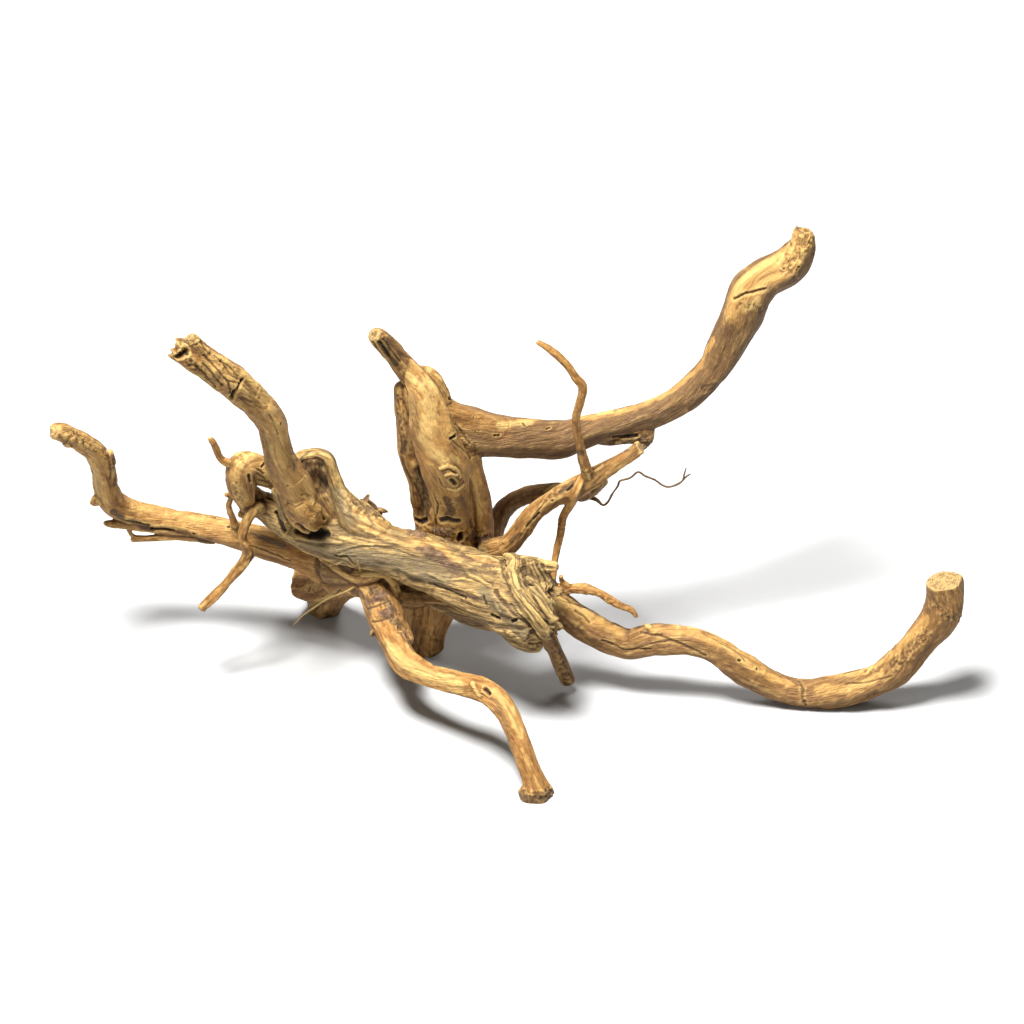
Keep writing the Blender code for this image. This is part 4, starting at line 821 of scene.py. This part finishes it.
points = read(fused.vertices, "co") / MM
normals = read(fused.vertices, "normal")
REACH = 6.0  # mm from a strand's surface in which it has a say
BLEND = 0.9  # mm over which one strand's look turns into the next one's
LEAST_SHARE = 0.01  # of a strand's say, below which it is left out
BATCH = 40000  # points handled at a time
TWIST = 0.014  # radians for each mm that the grain turns round its strand
TEAR_LENGTH = 8.0  # mm of a torn end that is ragged
FULL_SIZE = 9.0  # mm, the mean radius from which a strand's lumps are at their largest
GRAIN_STEP = 37.0  # how far apart two strands' grain lies, so that they don't look alike

owner_gap = np.full(len(points), 1e9)
owner = np.zeros(len(points), int)
nearby = []
for number, strand in enumerate(STRANDS):
    centre = strand["centre"]
    margin = strand["radius"].max() + REACH
    inside = ((points > centre.min(0) - margin) & (points < centre.max(0) + margin)).all(1)
    chosen = np.nonzero(inside)[0]
    nearest = np.zeros(len(chosen), int)
    for begin in range(0, len(chosen), BATCH):
        block = points[chosen[begin:begin + BATCH]]
        apart = (block ** 2).sum(1)[:, None] - 2 * block @ centre.T + (centre ** 2).sum(1)[None, :]
        nearest[begin:begin + BATCH] = apart.argmin(1)
    offset = points[chosen] - centre[nearest]
    forward = (offset * strand["heading"][nearest]).sum(1)
    across = (offset * strand["side"][nearest]).sum(1)
    upward = (offset * strand["other"][nearest]).sum(1)
    gap = np.sqrt(across ** 2 + upward ** 2 + np.where(abs(forward) > STEP, forward, 0) ** 2)
    gap = gap - strand["radius"][nearest]
    keep = gap < REACH
    chosen, nearest, gap = chosen[keep], nearest[keep], gap[keep]
    grain = np.stack([across[keep], upward[keep], strand["along"][nearest] + forward[keep]], axis=1)
    nearby.append((number, chosen, nearest, gap, grain))
    better = gap < owner_gap[chosen]
    owner_gap[chosen[better]] = gap[better]
    owner[chosen[better]] = number


def weathered(strand, turned):
    """How far weather raised the wood at places on a strand, and how furrowed it left each place."""
    seed = strand["seed"]
    size = min(1.0, max(0.3, strand["radius"].mean() / FULL_SIZE))
    sway = bumps(turned, 8, 17, seed + 1)[:, None] * (2.4, 2.4, 0)
    sway += bumps(turned, 3, 7, seed + 6)[:, None] * (0.7, -0.7, 0)
    flowing = turned + sway
    lumps = bumps(flowing / size, 8, 17, seed + 2) * 0.85
    lumps = lumps + bumps(turned / size, 3.6, 6, seed + 3) * 0.5
    lumps = lumps * size + bumps(turned, 1.9, 2.8, seed + 7) * 0.16
    pitch = strand["grain"]
    furrow = 1 - abs(bumps(flowing, pitch, pitch * strand["flow"], seed + 4)) * 1.7
    furrow = smoothstep(0.5, 1.0, furrow) * smoothstep(-0.4, 0.4, bumps(turned, 9, 24, seed + 5))
    crease = smoothstep(0.78, 1.0, 1 - abs(bumps(flowing, 3.4, 15, seed + 8)))
    crease = crease * smoothstep(0.0, 0.7, bumps(turned, 7, 15, seed + 9))
    wrinkle = bumps(turned + sway, 5, 1.9, seed + 10)
    wrinkle = wrinkle * smoothstep(0.1, 0.6, bumps(turned, 9, 10, seed + 5))
    fibre = bumps(flowing, 1.5, 20, seed + 6)
    rise = (lumps * strand["lump"] - furrow * strand["groove"] - crease * strand["groove"] * 0.3
            + wrinkle * strand["wrinkle"] * 0.5 + fibre * strand["fibre"])
    return rise, np.maximum(furrow, crease * 0.7)


FIELDS = ("rise", "groove", "bleach", "dusk", "end_grain", "worn")
fields = {name: np.zeros(len(points)) for name in FIELDS}
weight = np.zeros(len(points))
grain_at = np.zeros((len(points), 3))
torn = np.zeros((len(points), 3))
for number, chosen, nearest, gap, grain in nearby:
    strand = STRANDS[number]
    share = np.exp(-(gap - owner_gap[chosen]) / BLEND)
    keep = share > LEAST_SHARE
    chosen, nearest, grain, share = chosen[keep], nearest[keep], grain[keep], share[keep]
    turn = grain[:, 2] * TWIST
    turned = np.stack([grain[:, 0] * np.cos(turn) - grain[:, 1] * np.sin(turn),
                       grain[:, 0] * np.sin(turn) + grain[:, 1] * np.cos(turn), grain[:, 2]], axis=1)
    rise, furrowed = weathered(strand, turned)
    seed = strand["seed"]
    total = strand["along"][-1]
    facing = (normals[chosen] * strand["heading"][nearest]).sum(1)
    tip = smoothstep(0.55, 0.85, facing) * (grain[:, 2] > total - 1.5)
    if strand["tear"]:
        column = grain * (1, 1, 0)
        ragged = noise(column / 5.5, seed + 12) + noise(column / 2.3, seed + 13) * 0.8
        ragged = ragged + noise(column / 1.3, seed + 14) * 0.3
        reach = smoothstep(total - TEAR_LENGTH, total - 0.5, grain[:, 2]) * (ragged - 0.4) * strand["tear"]
        torn[chosen] += share[:, None] * reach[:, None] * strand["heading"][nearest]
        fields["dusk"][chosen] += share * tip * 0.35
        tip = tip * 0
    fields["rise"][chosen] += share * rise
    shown = min(1, strand["groove"] ** 1.5 * 1.6)
    fields["groove"][chosen] += share * furrowed * shown
    fields["bleach"][chosen] += share * strand["bleach"]
    fields["dusk"][chosen] += share * strand["dusk"]
    fields["end_grain"][chosen] += share * tip
    fields["worn"][chosen] += share * min(1, strand["groove"])
    split = bumps(turned, 1.6, 3, seed + 15) * 0.5 + bumps(turned, 3.4, 5, seed + 16) * 0.4
    fields["rise"][chosen] += share * tip * split
    weight[chosen] += share
    mine = owner[chosen] == number
    grain_at[chosen[mine]] = turned[mine] + (0, 0, number * GRAIN_STEP)
weight = np.maximum(weight, 1e-6)
for name in FIELDS:
    fields[name] /= weight
torn /= weight[:, None]


# The marks of weather: cracks, holes, pits, plates of bark and pale or dark patches, some of which are
# painted shade and painted highlight. Each is laid on the skin where the viewer sees its path, then pressed
# in or raised and coloured from there.
for word in ("crack_and_hole_shade", "bark", "light", "grey"):
    fields[word] = np.zeros(len(points))
solid = bmesh.new()
solid.from_mesh(fused)
tree = BVHTree.FromBMesh(solid)
solid.free()


def seen_at(x, up, side):
    """The place on the skin that a viewer on that side sees at a point of the picture plane."""
    turned = Vector((1, -side, 1))
    through = aim + Vector((x, 0, 0)) + PICTURE_UP * turned * up
    stand = aim + TO_VIEWER * turned * VIEW_DISTANCE
    return tree.ray_cast(stand * MM, (through - stand).normalized())[0]


SPACING = 0.5  # mm between the places of a mark
MOST_STRAY = 0.6  # mm that a line of weather strays from its path
MARGIN = 1.7  # how far round a mark the skin is looked at, in widths of the mark
FEW = 40  # places handled at a time


def laid(path, side):
    """Places on the skin along a path on the picture plane."""
    spots = []
    most_stray = MOST_STRAY if len(path) > 1 else 0
    for (x0, up0), (x1, up1) in zip(path, path[1:] or path):
        steps = max(1, round(math.hypot(x1 - x0, up1 - up0) / SPACING))
        for step in range(steps + 1):
            x, up = x0 + (x1 - x0) * step / steps, up0 + (up1 - up0) * step / steps
            stray = noise(np.array([(x / 4, up / 4, 0.5), (x / 4, up / 4, 9.5)]), 911) * most_stray
            spot = seen_at(x + stray[0], up + stray[1], side)
            if spot:
                spots.append(np.array(spot) / MM)
    return np.array(spots)


def press(near, depth):
    """Presses the skin in by a depth in mm at some of its points."""
    fields["rise"][near] -= depth


def most(word, near, values):
    """Gives some points of the skin the larger one of their old value and a new one."""
    fields[word][near] = np.maximum(fields[word][near], values)


rough = noise(points / 1.7, 901) * 0.6 + noise(points / 0.9, 902) * 0.4
ragged = noise(points / 4.5, 904) * 0.7 + noise(points / 2.2, 905) * 0.3
flakes = noise(points / (3.2, 3.2, 2.2), 903)
for kind, width, depth, path, side in MARKS:
    spots = laid(path, side)
    if not len(spots):
        continue
    margin = width * MARGIN
    near = np.nonzero(((points > spots.min(0) - margin) & (points < spots.max(0) + margin)).all(1))[0]
    gap = np.full(len(near), 1e9)
    for begin in range(0, len(spots), FEW):
        block = spots[begin:begin + FEW]
        apart = np.linalg.norm(points[near][:, None, :] - block[None, :, :], axis=2).min(1)
        gap = np.minimum(gap, apart)
    gap = gap / width + (rough[near] * 0.2 if width < 2 else ragged[near] * 0.35)
    inside = 1 - smoothstep(0.35, 1.0, gap)
    if kind == "crease":
        press(near, depth * inside)
        most("groove", near, 0.85 * (1 - smoothstep(0.3, 1.0, gap)))
    elif kind == "crack":
        press(near, depth * inside)
        # Painted shade: the inside of the crack is coloured near black.
        most("crack_and_hole_shade", near, 1 - smoothstep(0.3, 0.85, gap))
    elif kind == "hole":
        press(near, depth * inside - 0.3 * smoothstep(1.5, 1.1, gap) * smoothstep(0.8, 1.1, gap))
        # Painted shade: the inside of the hole is coloured near black.
        most("crack_and_hole_shade", near, 1 - smoothstep(0.4, 0.9, gap))
        fields["dusk"][near] *= smoothstep(0.8, 1.4, gap)
    elif kind == "bark":
        edge = smoothstep(1.05, 0.85, gap)
        press(near, -edge * (depth + 0.35 * flakes[near] + 0.3 * rough[near]))
        most("bark", near, edge)
    elif kind == "pale":
        press(near, -depth * inside)
        most("bleach", near, inside)
        fields["dusk"][near] *= 1 - inside
    elif kind == "fresh":
        # Fresh marks make the wood paler and calmer; those along the top edges of the arms and the horn are
        # painted highlight.
        press(near, -depth * inside)
        fields["bleach"][near] *= 1 - 0.75 * inside
        fields["dusk"][near] *= 1 - inside
        fields["worn"][near] *= 1 - 0.75 * inside
        most("light", near, inside * 0.45)
    elif kind == "light":
        # Light marks make the wood paler; those along the top of the horn and the upper arm are painted
        # highlight.
        press(near, -depth * inside)
        most("light", near, inside)
    elif kind == "rough":
        press(near, -inside * (rough[near] + ragged[near] * 0.5) * depth)
        most("groove", near, inside * smoothstep(0.05, 0.4, -rough[near]) * 0.8)
    elif kind == "grey":
        press(near, depth * inside)
        fields["worn"][near] *= 1 - 0.4 * inside
        most("grey", near, inside)
    elif kind == "shade":
        press(near, depth * inside)
        # Painted shade: the wood is darkened toward the dusky brown.
        most("dusk", near, inside * 0.42)
    elif kind == "dusk":
        press(near, depth * inside)
        # The dusky brown of dark patches; at some marks, such as the band under a ridge of the log and the
        # recess behind the arch, it is painted shade.
        most("dusk", near, inside)


# The surface as weather left it: furrows and lumps are pressed into the skin along its normals.
points = points + normals * fields["rise"][:, None] + torn
points = np.clip(points, np.array(cad_low) / MM, np.array(cad_high) / MM)
fused.vertices.foreach_set("co", (points * MM).astype(np.float32).ravel())
fused.update()

# What follows from the surface: its hollows are darkened as painted shade, and its crests are made paler,
# partly as rubbed wear and partly as painted highlight.
ties = np.zeros(len(fused.edges) * 2, np.int32)
fused.edges.foreach_get("vertices", ties)
ties = ties.reshape(-1, 2)
near_count = 1 + np.bincount(ties.ravel(), minlength=len(points))


def relaxed(values, rounds):
    """Values averaged with their neighbours' a number of times."""
    for _ in range(rounds):
        total = values + np.bincount(ties[:, 0], values[ties[:, 1]], len(values))
        total += np.bincount(ties[:, 1], values[ties[:, 0]], len(values))
        values = total / near_count
    return values


normals = read(fused.vertices, "normal")
settled = [relaxed(points[:, axis], 6) for axis in range(3)]
sunk = [relaxed(values, 20) for values in settled]
fine = ((np.stack(settled, axis=1) - points) * normals).sum(1)
broad = ((np.stack(sunk, axis=1) - points) * normals).sum(1)
fine -= relaxed(fine, 30)
broad -= relaxed(broad, 60)
# Painted shade: the more sunken a point of the skin lies, the darker it is coloured.
hollow = smoothstep(0.01, 0.14, fine) * 0.6 + smoothstep(0.04, 0.5, broad) * 0.8
fields["hollow"] = np.clip(hollow, 0, 1) * (0.55 + 0.45 * np.clip(fields["worn"] * 1.4, 0, 1))
# Crests are made paler, partly as rubbed wear and partly as painted highlight; the light marks, some of
# them painted highlight along lit top edges, are added in.
pale_and_highlight = smoothstep(0.01, 0.12, -fine) * 0.6 + smoothstep(0.05, 0.45, -broad) * 0.7
fields["pale_and_highlight"] = np.clip(pale_and_highlight * (1 - 0.6 * fields["dusk"]) + fields.pop("light") * 1.2, 0, 1.6)


def store(mesh, name, kind, values):
    """Gives a mesh a named value for each point, which the material reads."""
    attribute = mesh.attributes.new(name, kind, "POINT")
    key = "vector" if kind == "FLOAT_VECTOR" else "value"
    attribute.data.foreach_set(key, np.ascontiguousarray(values, np.float32).ravel())


store(fused, "grain", "FLOAT_VECTOR", grain_at)
for name, values in fields.items():
    if name != "rise":
        store(fused, name, "FLOAT", values)


# The wood's colour: warm ochre where sound, straw and grey where bleached, brown where it kept its skin and
# as painted shade, near black as painted shade in cracks and holes. All of it runs along the grain that was
# laid above.
def wood_material(name):
    """The one material of all the wood, which reads what was stored on the skin."""
    material = bpy.data.materials.new(name)
    material.use_nodes = True
    tree = material.node_tree
    nodes, links = tree.nodes, tree.links
    shader = nodes["Principled BSDF"]

    def node(kind, **values):
        made = nodes.new(kind)
        for key, value in values.items():
            setattr(made, key, value)
        return made

    def field(word, output="Fac"):
        return node("ShaderNodeAttribute", attribute_name=word).outputs[output]

    def mix(low, high, factor):
        made = node("ShaderNodeMix", data_type="RGBA")
        for socket, value in ((made.inputs[6], low), (made.inputs[7], high)):
            if isinstance(value, tuple):
                socket.default_value = (*value, 1)
            else:
                links.new(value, socket)
        links.new(factor, made.inputs[0])
        return made.outputs[2]

    def math_node(operation, first, second):
        made = node("ShaderNodeMath", operation=operation)
        for socket, value in zip(made.inputs, (first, second)):
            if isinstance(value, (int, float)):
                socket.default_value = value
            else:
                links.new(value, socket)
        return made.outputs[0]

    def streaks(scale, stretch, detail):
        scaling = node("ShaderNodeMapping")
        scaling.inputs["Scale"].default_value = (scale, scale, scale / stretch)
        links.new(field("grain", "Vector"), scaling.inputs["Vector"])
        made = node("ShaderNodeTexNoise")
        made.inputs["Scale"].default_value = 1
        made.inputs["Detail"].default_value = detail
        links.new(scaling.outputs[0], made.inputs["Vector"])
        return made.outputs["Fac"]

    def ramp(value, low, high):
        made = node("ShaderNodeMapRange", interpolation_type="SMOOTHSTEP")
        made.inputs["From Min"].default_value = low
        made.inputs["From Max"].default_value = high
        links.new(value, made.inputs["Value"])
        return made.outputs["Result"]

    def toward(colour, goal, share, most):
        return mix(colour, goal, math_node("MULTIPLY", share, most))

    patches = ramp(streaks(0.13, 2.2, 3), 0.38, 0.64)
    mottle = ramp(streaks(0.42, 1.8, 4), 0.38, 0.66)
    middle = ramp(streaks(0.5, 6, 4), 0.36, 0.66)
    fine = ramp(streaks(1.5, 9, 3), 0.32, 0.7)
    lines = ramp(streaks(1.1, 16, 2), 0.6, 0.7)
    specks = ramp(streaks(1.3, 1.6, 2), 0.64, 0.72)
    pores = ramp(streaks(0.95, 1.3, 4), 0.42, 0.62)
    threads = ramp(streaks(0.8, 15, 3), 0.44, 0.60)
    glints = ramp(streaks(0.62, 20, 2), 0.54, 0.66)
    worn = field("worn")
    hollow = field("hollow")

    sound = mix((0.285, 0.12, 0.023), (0.475, 0.226, 0.049), middle)
    sound = toward(sound, (0.56, 0.30, 0.080), patches, 0.6)
    sound = toward(sound, (0.265, 0.098, 0.02), mottle, 0.35)
    pale = mix((0.25, 0.163, 0.064), (0.43, 0.288, 0.10), middle)
    pale = toward(pale, (0.50, 0.34, 0.115), patches, 0.5)
    pale = toward(pale, (0.19, 0.143, 0.07), mottle, 0.5)
    dusky = mix((0.08, 0.040, 0.015), (0.18, 0.10, 0.038), middle)
    dusky = toward(dusky, (0.13, 0.085, 0.04), mottle, 0.5)
    bark = mix((0.08, 0.039, 0.02), (0.19, 0.105, 0.06), mottle)
    colour = mix(sound, pale, field("bleach"))
    # Dusky brown: the wood's own dark skin, and painted shade where the shade marks, some dusk marks and
    # the arms' dusk lie.
    colour = mix(colour, dusky, field("dusk"))
    grey = mix((0.125, 0.10, 0.056), (0.235, 0.19, 0.095), fine)
    furrow = mix((0.085, 0.042, 0.015), (0.145, 0.10, 0.046), field("bleach"))
    layers = [  # what lies on the wood, one over the other: its colour, where it is, how much it covers
        ((0.09, 0.042, 0.014), threads, math_node("ADD", math_node("MULTIPLY", worn, 0.27), 0.07)),
        ((0.62, 0.44, 0.175), glints, math_node("ADD", math_node("MULTIPLY", worn, 0.3), 0.06)),
        ((0.11, 0.048, 0.013), fine, 0.2),
        ((0.13, 0.062, 0.02), pores, 0.22),
        ((0.085, 0.038, 0.012), lines, 0.14),
        ((0.07, 0.031, 0.011), specks, 0.22),
        # Partly pale wear and partly painted highlight, on crests and along lit top edges.
        ((0.66, 0.44, 0.15), field("pale_and_highlight"), 0.44),
        (grey, field("grey"), 0.62),
        (bark, field("bark"), 0.9),
        # Painted shade in the hollows.
        ((0.065, 0.03, 0.01), hollow, 0.74),
        (furrow, field("groove"), 0.75),
        # Painted shade: near black in the cracks and holes.
        ((0.010, 0.006, 0.004), field("crack_and_hole_shade"), 0.92),
    ]
    for shade, place, cover in layers:
        colour = toward(colour, shade, place, cover)
    rings = node("ShaderNodeTexWave", wave_type="RINGS", rings_direction="Z")
    for word, value in (("Scale", 0.22), ("Distortion", 2.5), ("Detail", 3), ("Detail Scale", 1.2)):
        rings.inputs[word].default_value = value
    links.new(field("grain", "Vector"), rings.inputs["Vector"])
    sawn = mix((0.37, 0.225, 0.08), (0.55, 0.38, 0.15), rings.outputs["Fac"])
    sawn = toward(sawn, (0.16, 0.085, 0.03), specks, 0.6)
    # Painted shade in the hollows of the sawn face.
    sawn = toward(sawn, (0.10, 0.05, 0.018), hollow, 0.7)
    colour = toward(colour, sawn, field("end_grain"), 0.9)
    links.new(colour, shader.inputs["Base Color"])
    roughness = node("ShaderNodeMapRange")
    roughness.inputs["To Min"].default_value = 0.5
    roughness.inputs["To Max"].default_value = 0.85
    links.new(fine, roughness.inputs["Value"])
    links.new(roughness.outputs["Result"], shader.inputs["Roughness"])
    shader.inputs["Specular IOR Level"].default_value = 0.35
    relief = math_node("MULTIPLY", fine, -0.6)
    for layer, height in ((middle, -0.5), (mottle, -0.5), (specks, -0.6)):
        relief = math_node("ADD", relief, math_node("MULTIPLY", layer, height))
    relief = math_node("ADD", relief, math_node("MULTIPLY", threads, math_node("MULTIPLY", worn, -1.4)))
    bump = node("ShaderNodeBump")
    bump.inputs["Strength"].default_value = 0.8
    bump.inputs["Distance"].default_value = 0.0007
    links.new(relief, bump.inputs["Height"])
    links.new(bump.outputs[0], shader.inputs["Normal"])
    return material


# Parted at the forks: the skin is cut where the arms leave the stock, each cut is closed, and each
# piece rides on the root's only body in place of its plain solid.
CUTS = [  # node, run, stations of the cut and surely beyond it, radius of the cut in mm, slot
    ("upper_arm", UPPER_ARM, 2.0, 8, 15, "warm_wood"),
    ("crown_stub", CROWN_STUB, 1.5, 3, 9, "tan_wood"),
    ("horn", HORN, 3.6, 8, 15, "tan_wood"),
    ("left_arm", LEFT_ARM, 1.3, 6, 15.5, "warm_wood"),
    ("left_foot", LEFT_FOOT, 1.0, 3, 22, "dusky_wood"),
    ("crook", CROOK, 5.6, 3, 9, "tan_wood"),
    ("hanging_root", HANGING_ROOT, 1.5, 5, 7, "warm_wood"),
    ("front_leg", FRONT_LEG, 2.4, 6, 14.5, "warm_wood"),
    ("lower_arm", LOWER_ARM, 2.1, 10, 14, "warm_wood"),
    ("peg_root", PEG_ROOT, 2.0, 4, 8, "dusky_wood"),
    ("side_twig", SIDE_TWIG, 1.3, 4, 5.5, "tan_wood"),
    ("middle_arm", MIDDLE_ARM, 1.1, 9, 10, "tan_wood"),
    ("loop_root", LOOP_ROOT, 1.0, 4, 9, "dusky_wood"),
    ("rising_twig", RISING_TWIG, 0.8, 6, 7, "warm_wood"),
    ("bridge_twig", BRIDGE_TWIG, 2.6, 4, 5, "tan_wood"),
]
# Two roots grew in again at their far ends, where they are cut too.
FAR_CUTS = [(LOOP_ROOT, 7.2, 6.5), (BRIDGE_TWIG, 6.2, 5)]
TRUNK_SEAT = ((-40, 10 + BACK_SHIFT, 89), (0, 0.55, 0.83), 40)  # point, direction and radius of that cut
CUT_DEPTH = 3  # mm on both sides of a cut in which the skin is looked at


def station(run, index):
    """The point and heading at a fractional station of a run."""
    line = smooth_line(run)
    stations = np.array(run, float)[:, :3] + (0, BACK_SHIFT, 0)
    low = min(int(index), len(run) - 2)
    goal = stations[low] + (stations[low + 1] - stations[low]) * (index - low)
    spot = np.linalg.norm(line[:, :3] - goal, axis=1).argmin()
    before, after = line[max(spot - 2, 0), :3], line[min(spot + 2, len(line) - 1), :3]
    return line[spot, :3], (after - before) / np.linalg.norm(after - before)


def ring_edges(edges):
    """The edges that lie on closed rings, without the loose ends that a cut may leave."""
    ends = {}
    for edge in edges:
        for vert in edge.verts:
            ends[vert] = ends.get(vert, 0) + 1
    open_ends = [vert for vert, count in ends.items() if count != 2]
    all_edges = set(edges)
    loose = set()
    while open_ends:
        vert = open_ends.pop()
        for edge in vert.link_edges:
            if edge in all_edges and edge not in loose:
                loose.add(edge)
                open_ends += [other for other in edge.verts if other is not vert]
    return [edge for edge in edges if edge not in loose]


plates = [(*station(run, at), width) for _, run, at, _, width, _ in CUTS]
plates += [(*station(run, at), width) for run, at, width in FAR_CUTS]
plates.append(TRUNK_SEAT)
shape = bmesh.new()
shape.from_mesh(fused)
shape.faces.ensure_lookup_table()
middles = read(fused.polygons, "center") / MM
near_faces = []
for centre, heading, width in plates:
    heading = np.array(heading) / np.linalg.norm(heading)
    offset = middles - np.array(centre)
    height = offset @ heading
    flat = np.linalg.norm(offset - height[:, None] * heading, axis=1)
    near_faces.append([shape.faces[i] for i in np.nonzero((abs(height) < CUT_DEPTH) & (flat < width))[0]])
for (centre, heading, width), faces in zip(plates, near_faces):
    faces = [face for face in faces if face.is_valid]
    geometry = set(faces)
    for face in faces:
        geometry.update(face.edges)
        geometry.update(face.verts)
    cut = bmesh.ops.bisect_plane(shape, geom=list(geometry), plane_co=Vector(centre) * MM,
                                 plane_no=Vector(heading), dist=0.00001)["geom_cut"]
    edges = [item for item in cut if isinstance(item, bmesh.types.BMEdge)]
    bmesh.ops.split_edges(shape, edges=ring_edges(edges))
rims = [edge for edge in shape.edges if edge.is_boundary]
bmesh.ops.holes_fill(shape, edges=rims, sides=0)
bmesh.ops.triangulate(shape, faces=[face for face in shape.faces if len(face.verts) > 4])
shape.to_mesh(fused)
shape.free()

for item in list(bpy.context.selected_objects):
    item.select_set(False)
bpy.context.view_layer.objects.active = skin
skin.select_set(True)
bpy.ops.object.mode_set(mode="EDIT")
bpy.ops.mesh.select_all(action="SELECT")
bpy.ops.mesh.separate(type="LOOSE")
bpy.ops.object.mode_set(mode="OBJECT")
bodies = [item for item in bpy.context.scene.objects if item.name.startswith("skin")]
wood = wood_material("moor_wood")
clouds = [read(body.data.vertices, "co") / MM for body in bodies]


def nearest_body(spot):
    """The number of the loose body whose skin comes nearest to a place."""
    return min(range(len(bodies)), key=lambda i: np.linalg.norm(clouds[i] - np.array(spot), axis=1).min())


PIECES = [(name, np.array(run[own][:3]) + (0, BACK_SHIFT, 0), slot) for name, run, _, own, _, slot in CUTS]
PIECES.append(("trunk", np.array((-49, -6 + BACK_SHIFT, 196)), "tan_wood"))
PIECES.append(("stock", np.array((-103, 1 + BACK_SHIFT, 89)), "straw_wood"))
used = set()
MOST_TRIANGLES = 190000
for name, spot, slot in PIECES:
    index = nearest_body(spot)
    if index in used:
        continue
    used.add(index)
    piece = bodies[index]
    triangles = sum(len(face.vertices) - 2 for face in piece.data.polygons)
    if triangles > MOST_TRIANGLES:
        thin = piece.modifiers.new("thin", "DECIMATE")
        thin.ratio = MOST_TRIANGLES / triangles
        bpy.context.view_layer.update()
        full = piece.data
        piece.data = as_modified(piece)
        piece.modifiers.clear()
        bpy.data.meshes.remove(full)
    piece.name = f"{name}_wood"
    piece.data.materials.clear()
    piece.data.materials.append(wood)
    piece.data.shade_smooth()
    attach(piece, "root")
    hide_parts(name)
for index, body in enumerate(bodies):
    if index not in used:
        bpy.data.objects.remove(body)


HAIR_SIDES = 8
HAIR_UNEVEN = 0.25  # how much a hair root's thickness varies, as a share of it


def hair(name, runs, dusk, pale):
    """Thin round roots of varying thickness, one closed tube for each run."""
    shape = bmesh.new()
    grain = []
    for run in runs:
        frame_of = framed(smooth_line(run), SLANTING)
        rings = []
        for index, spot in enumerate(frame_of["centre"]):
            across, other = frame_of["side"][index], frame_of["other"][index]
            uneven = 1 + HAIR_UNEVEN * noise(np.array([(index * 0.7, 0.5, 0.5)]), 77)[0]
            radius = frame_of["radius"][index] * uneven
            ring = []
            for step in range(HAIR_SIDES):
                turn = step / HAIR_SIDES * 2 * math.pi
                place = spot + (across * math.cos(turn) + other * math.sin(turn)) * radius
                ring.append(shape.verts.new(Vector(place) * MM))
                grain.append((math.cos(turn) * radius, math.sin(turn) * radius, index * STEP))
            rings.append(ring)
        for low_ring, high_ring in zip(rings, rings[1:]):
            for step in range(HAIR_SIDES):
                following = (step + 1) % HAIR_SIDES
                side = (low_ring[step], low_ring[following], high_ring[following], high_ring[step])
                shape.faces.new(side)
        shape.faces.new(rings[0][::-1])
        shape.faces.new(rings[-1])
    bmesh.ops.recalc_face_normals(shape, faces=shape.faces)
    mesh = bpy.data.meshes.new(name)
    shape.to_mesh(mesh)
    shape.free()
    store(mesh, "grain", "FLOAT_VECTOR", np.array(grain))
    for word, value in (("dusk", dusk), ("bleach", pale), ("pale_and_highlight", pale)):
        store(mesh, word, "FLOAT", np.full(len(mesh.vertices), value))
    mesh.materials.append(wood)
    mesh.shade_smooth()
    piece = bpy.data.objects.new(f"{name}_wood", mesh)
    bpy.context.scene.collection.objects.link(piece)
    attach(piece, "root")
    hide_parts(name)


hair("root_hair", [ROOT_HAIR, ROOT_HAIR_FORK], 1.0, 0.0)
hair("stump_hair", [STUMP_HAIR], 0.0, 1.0)
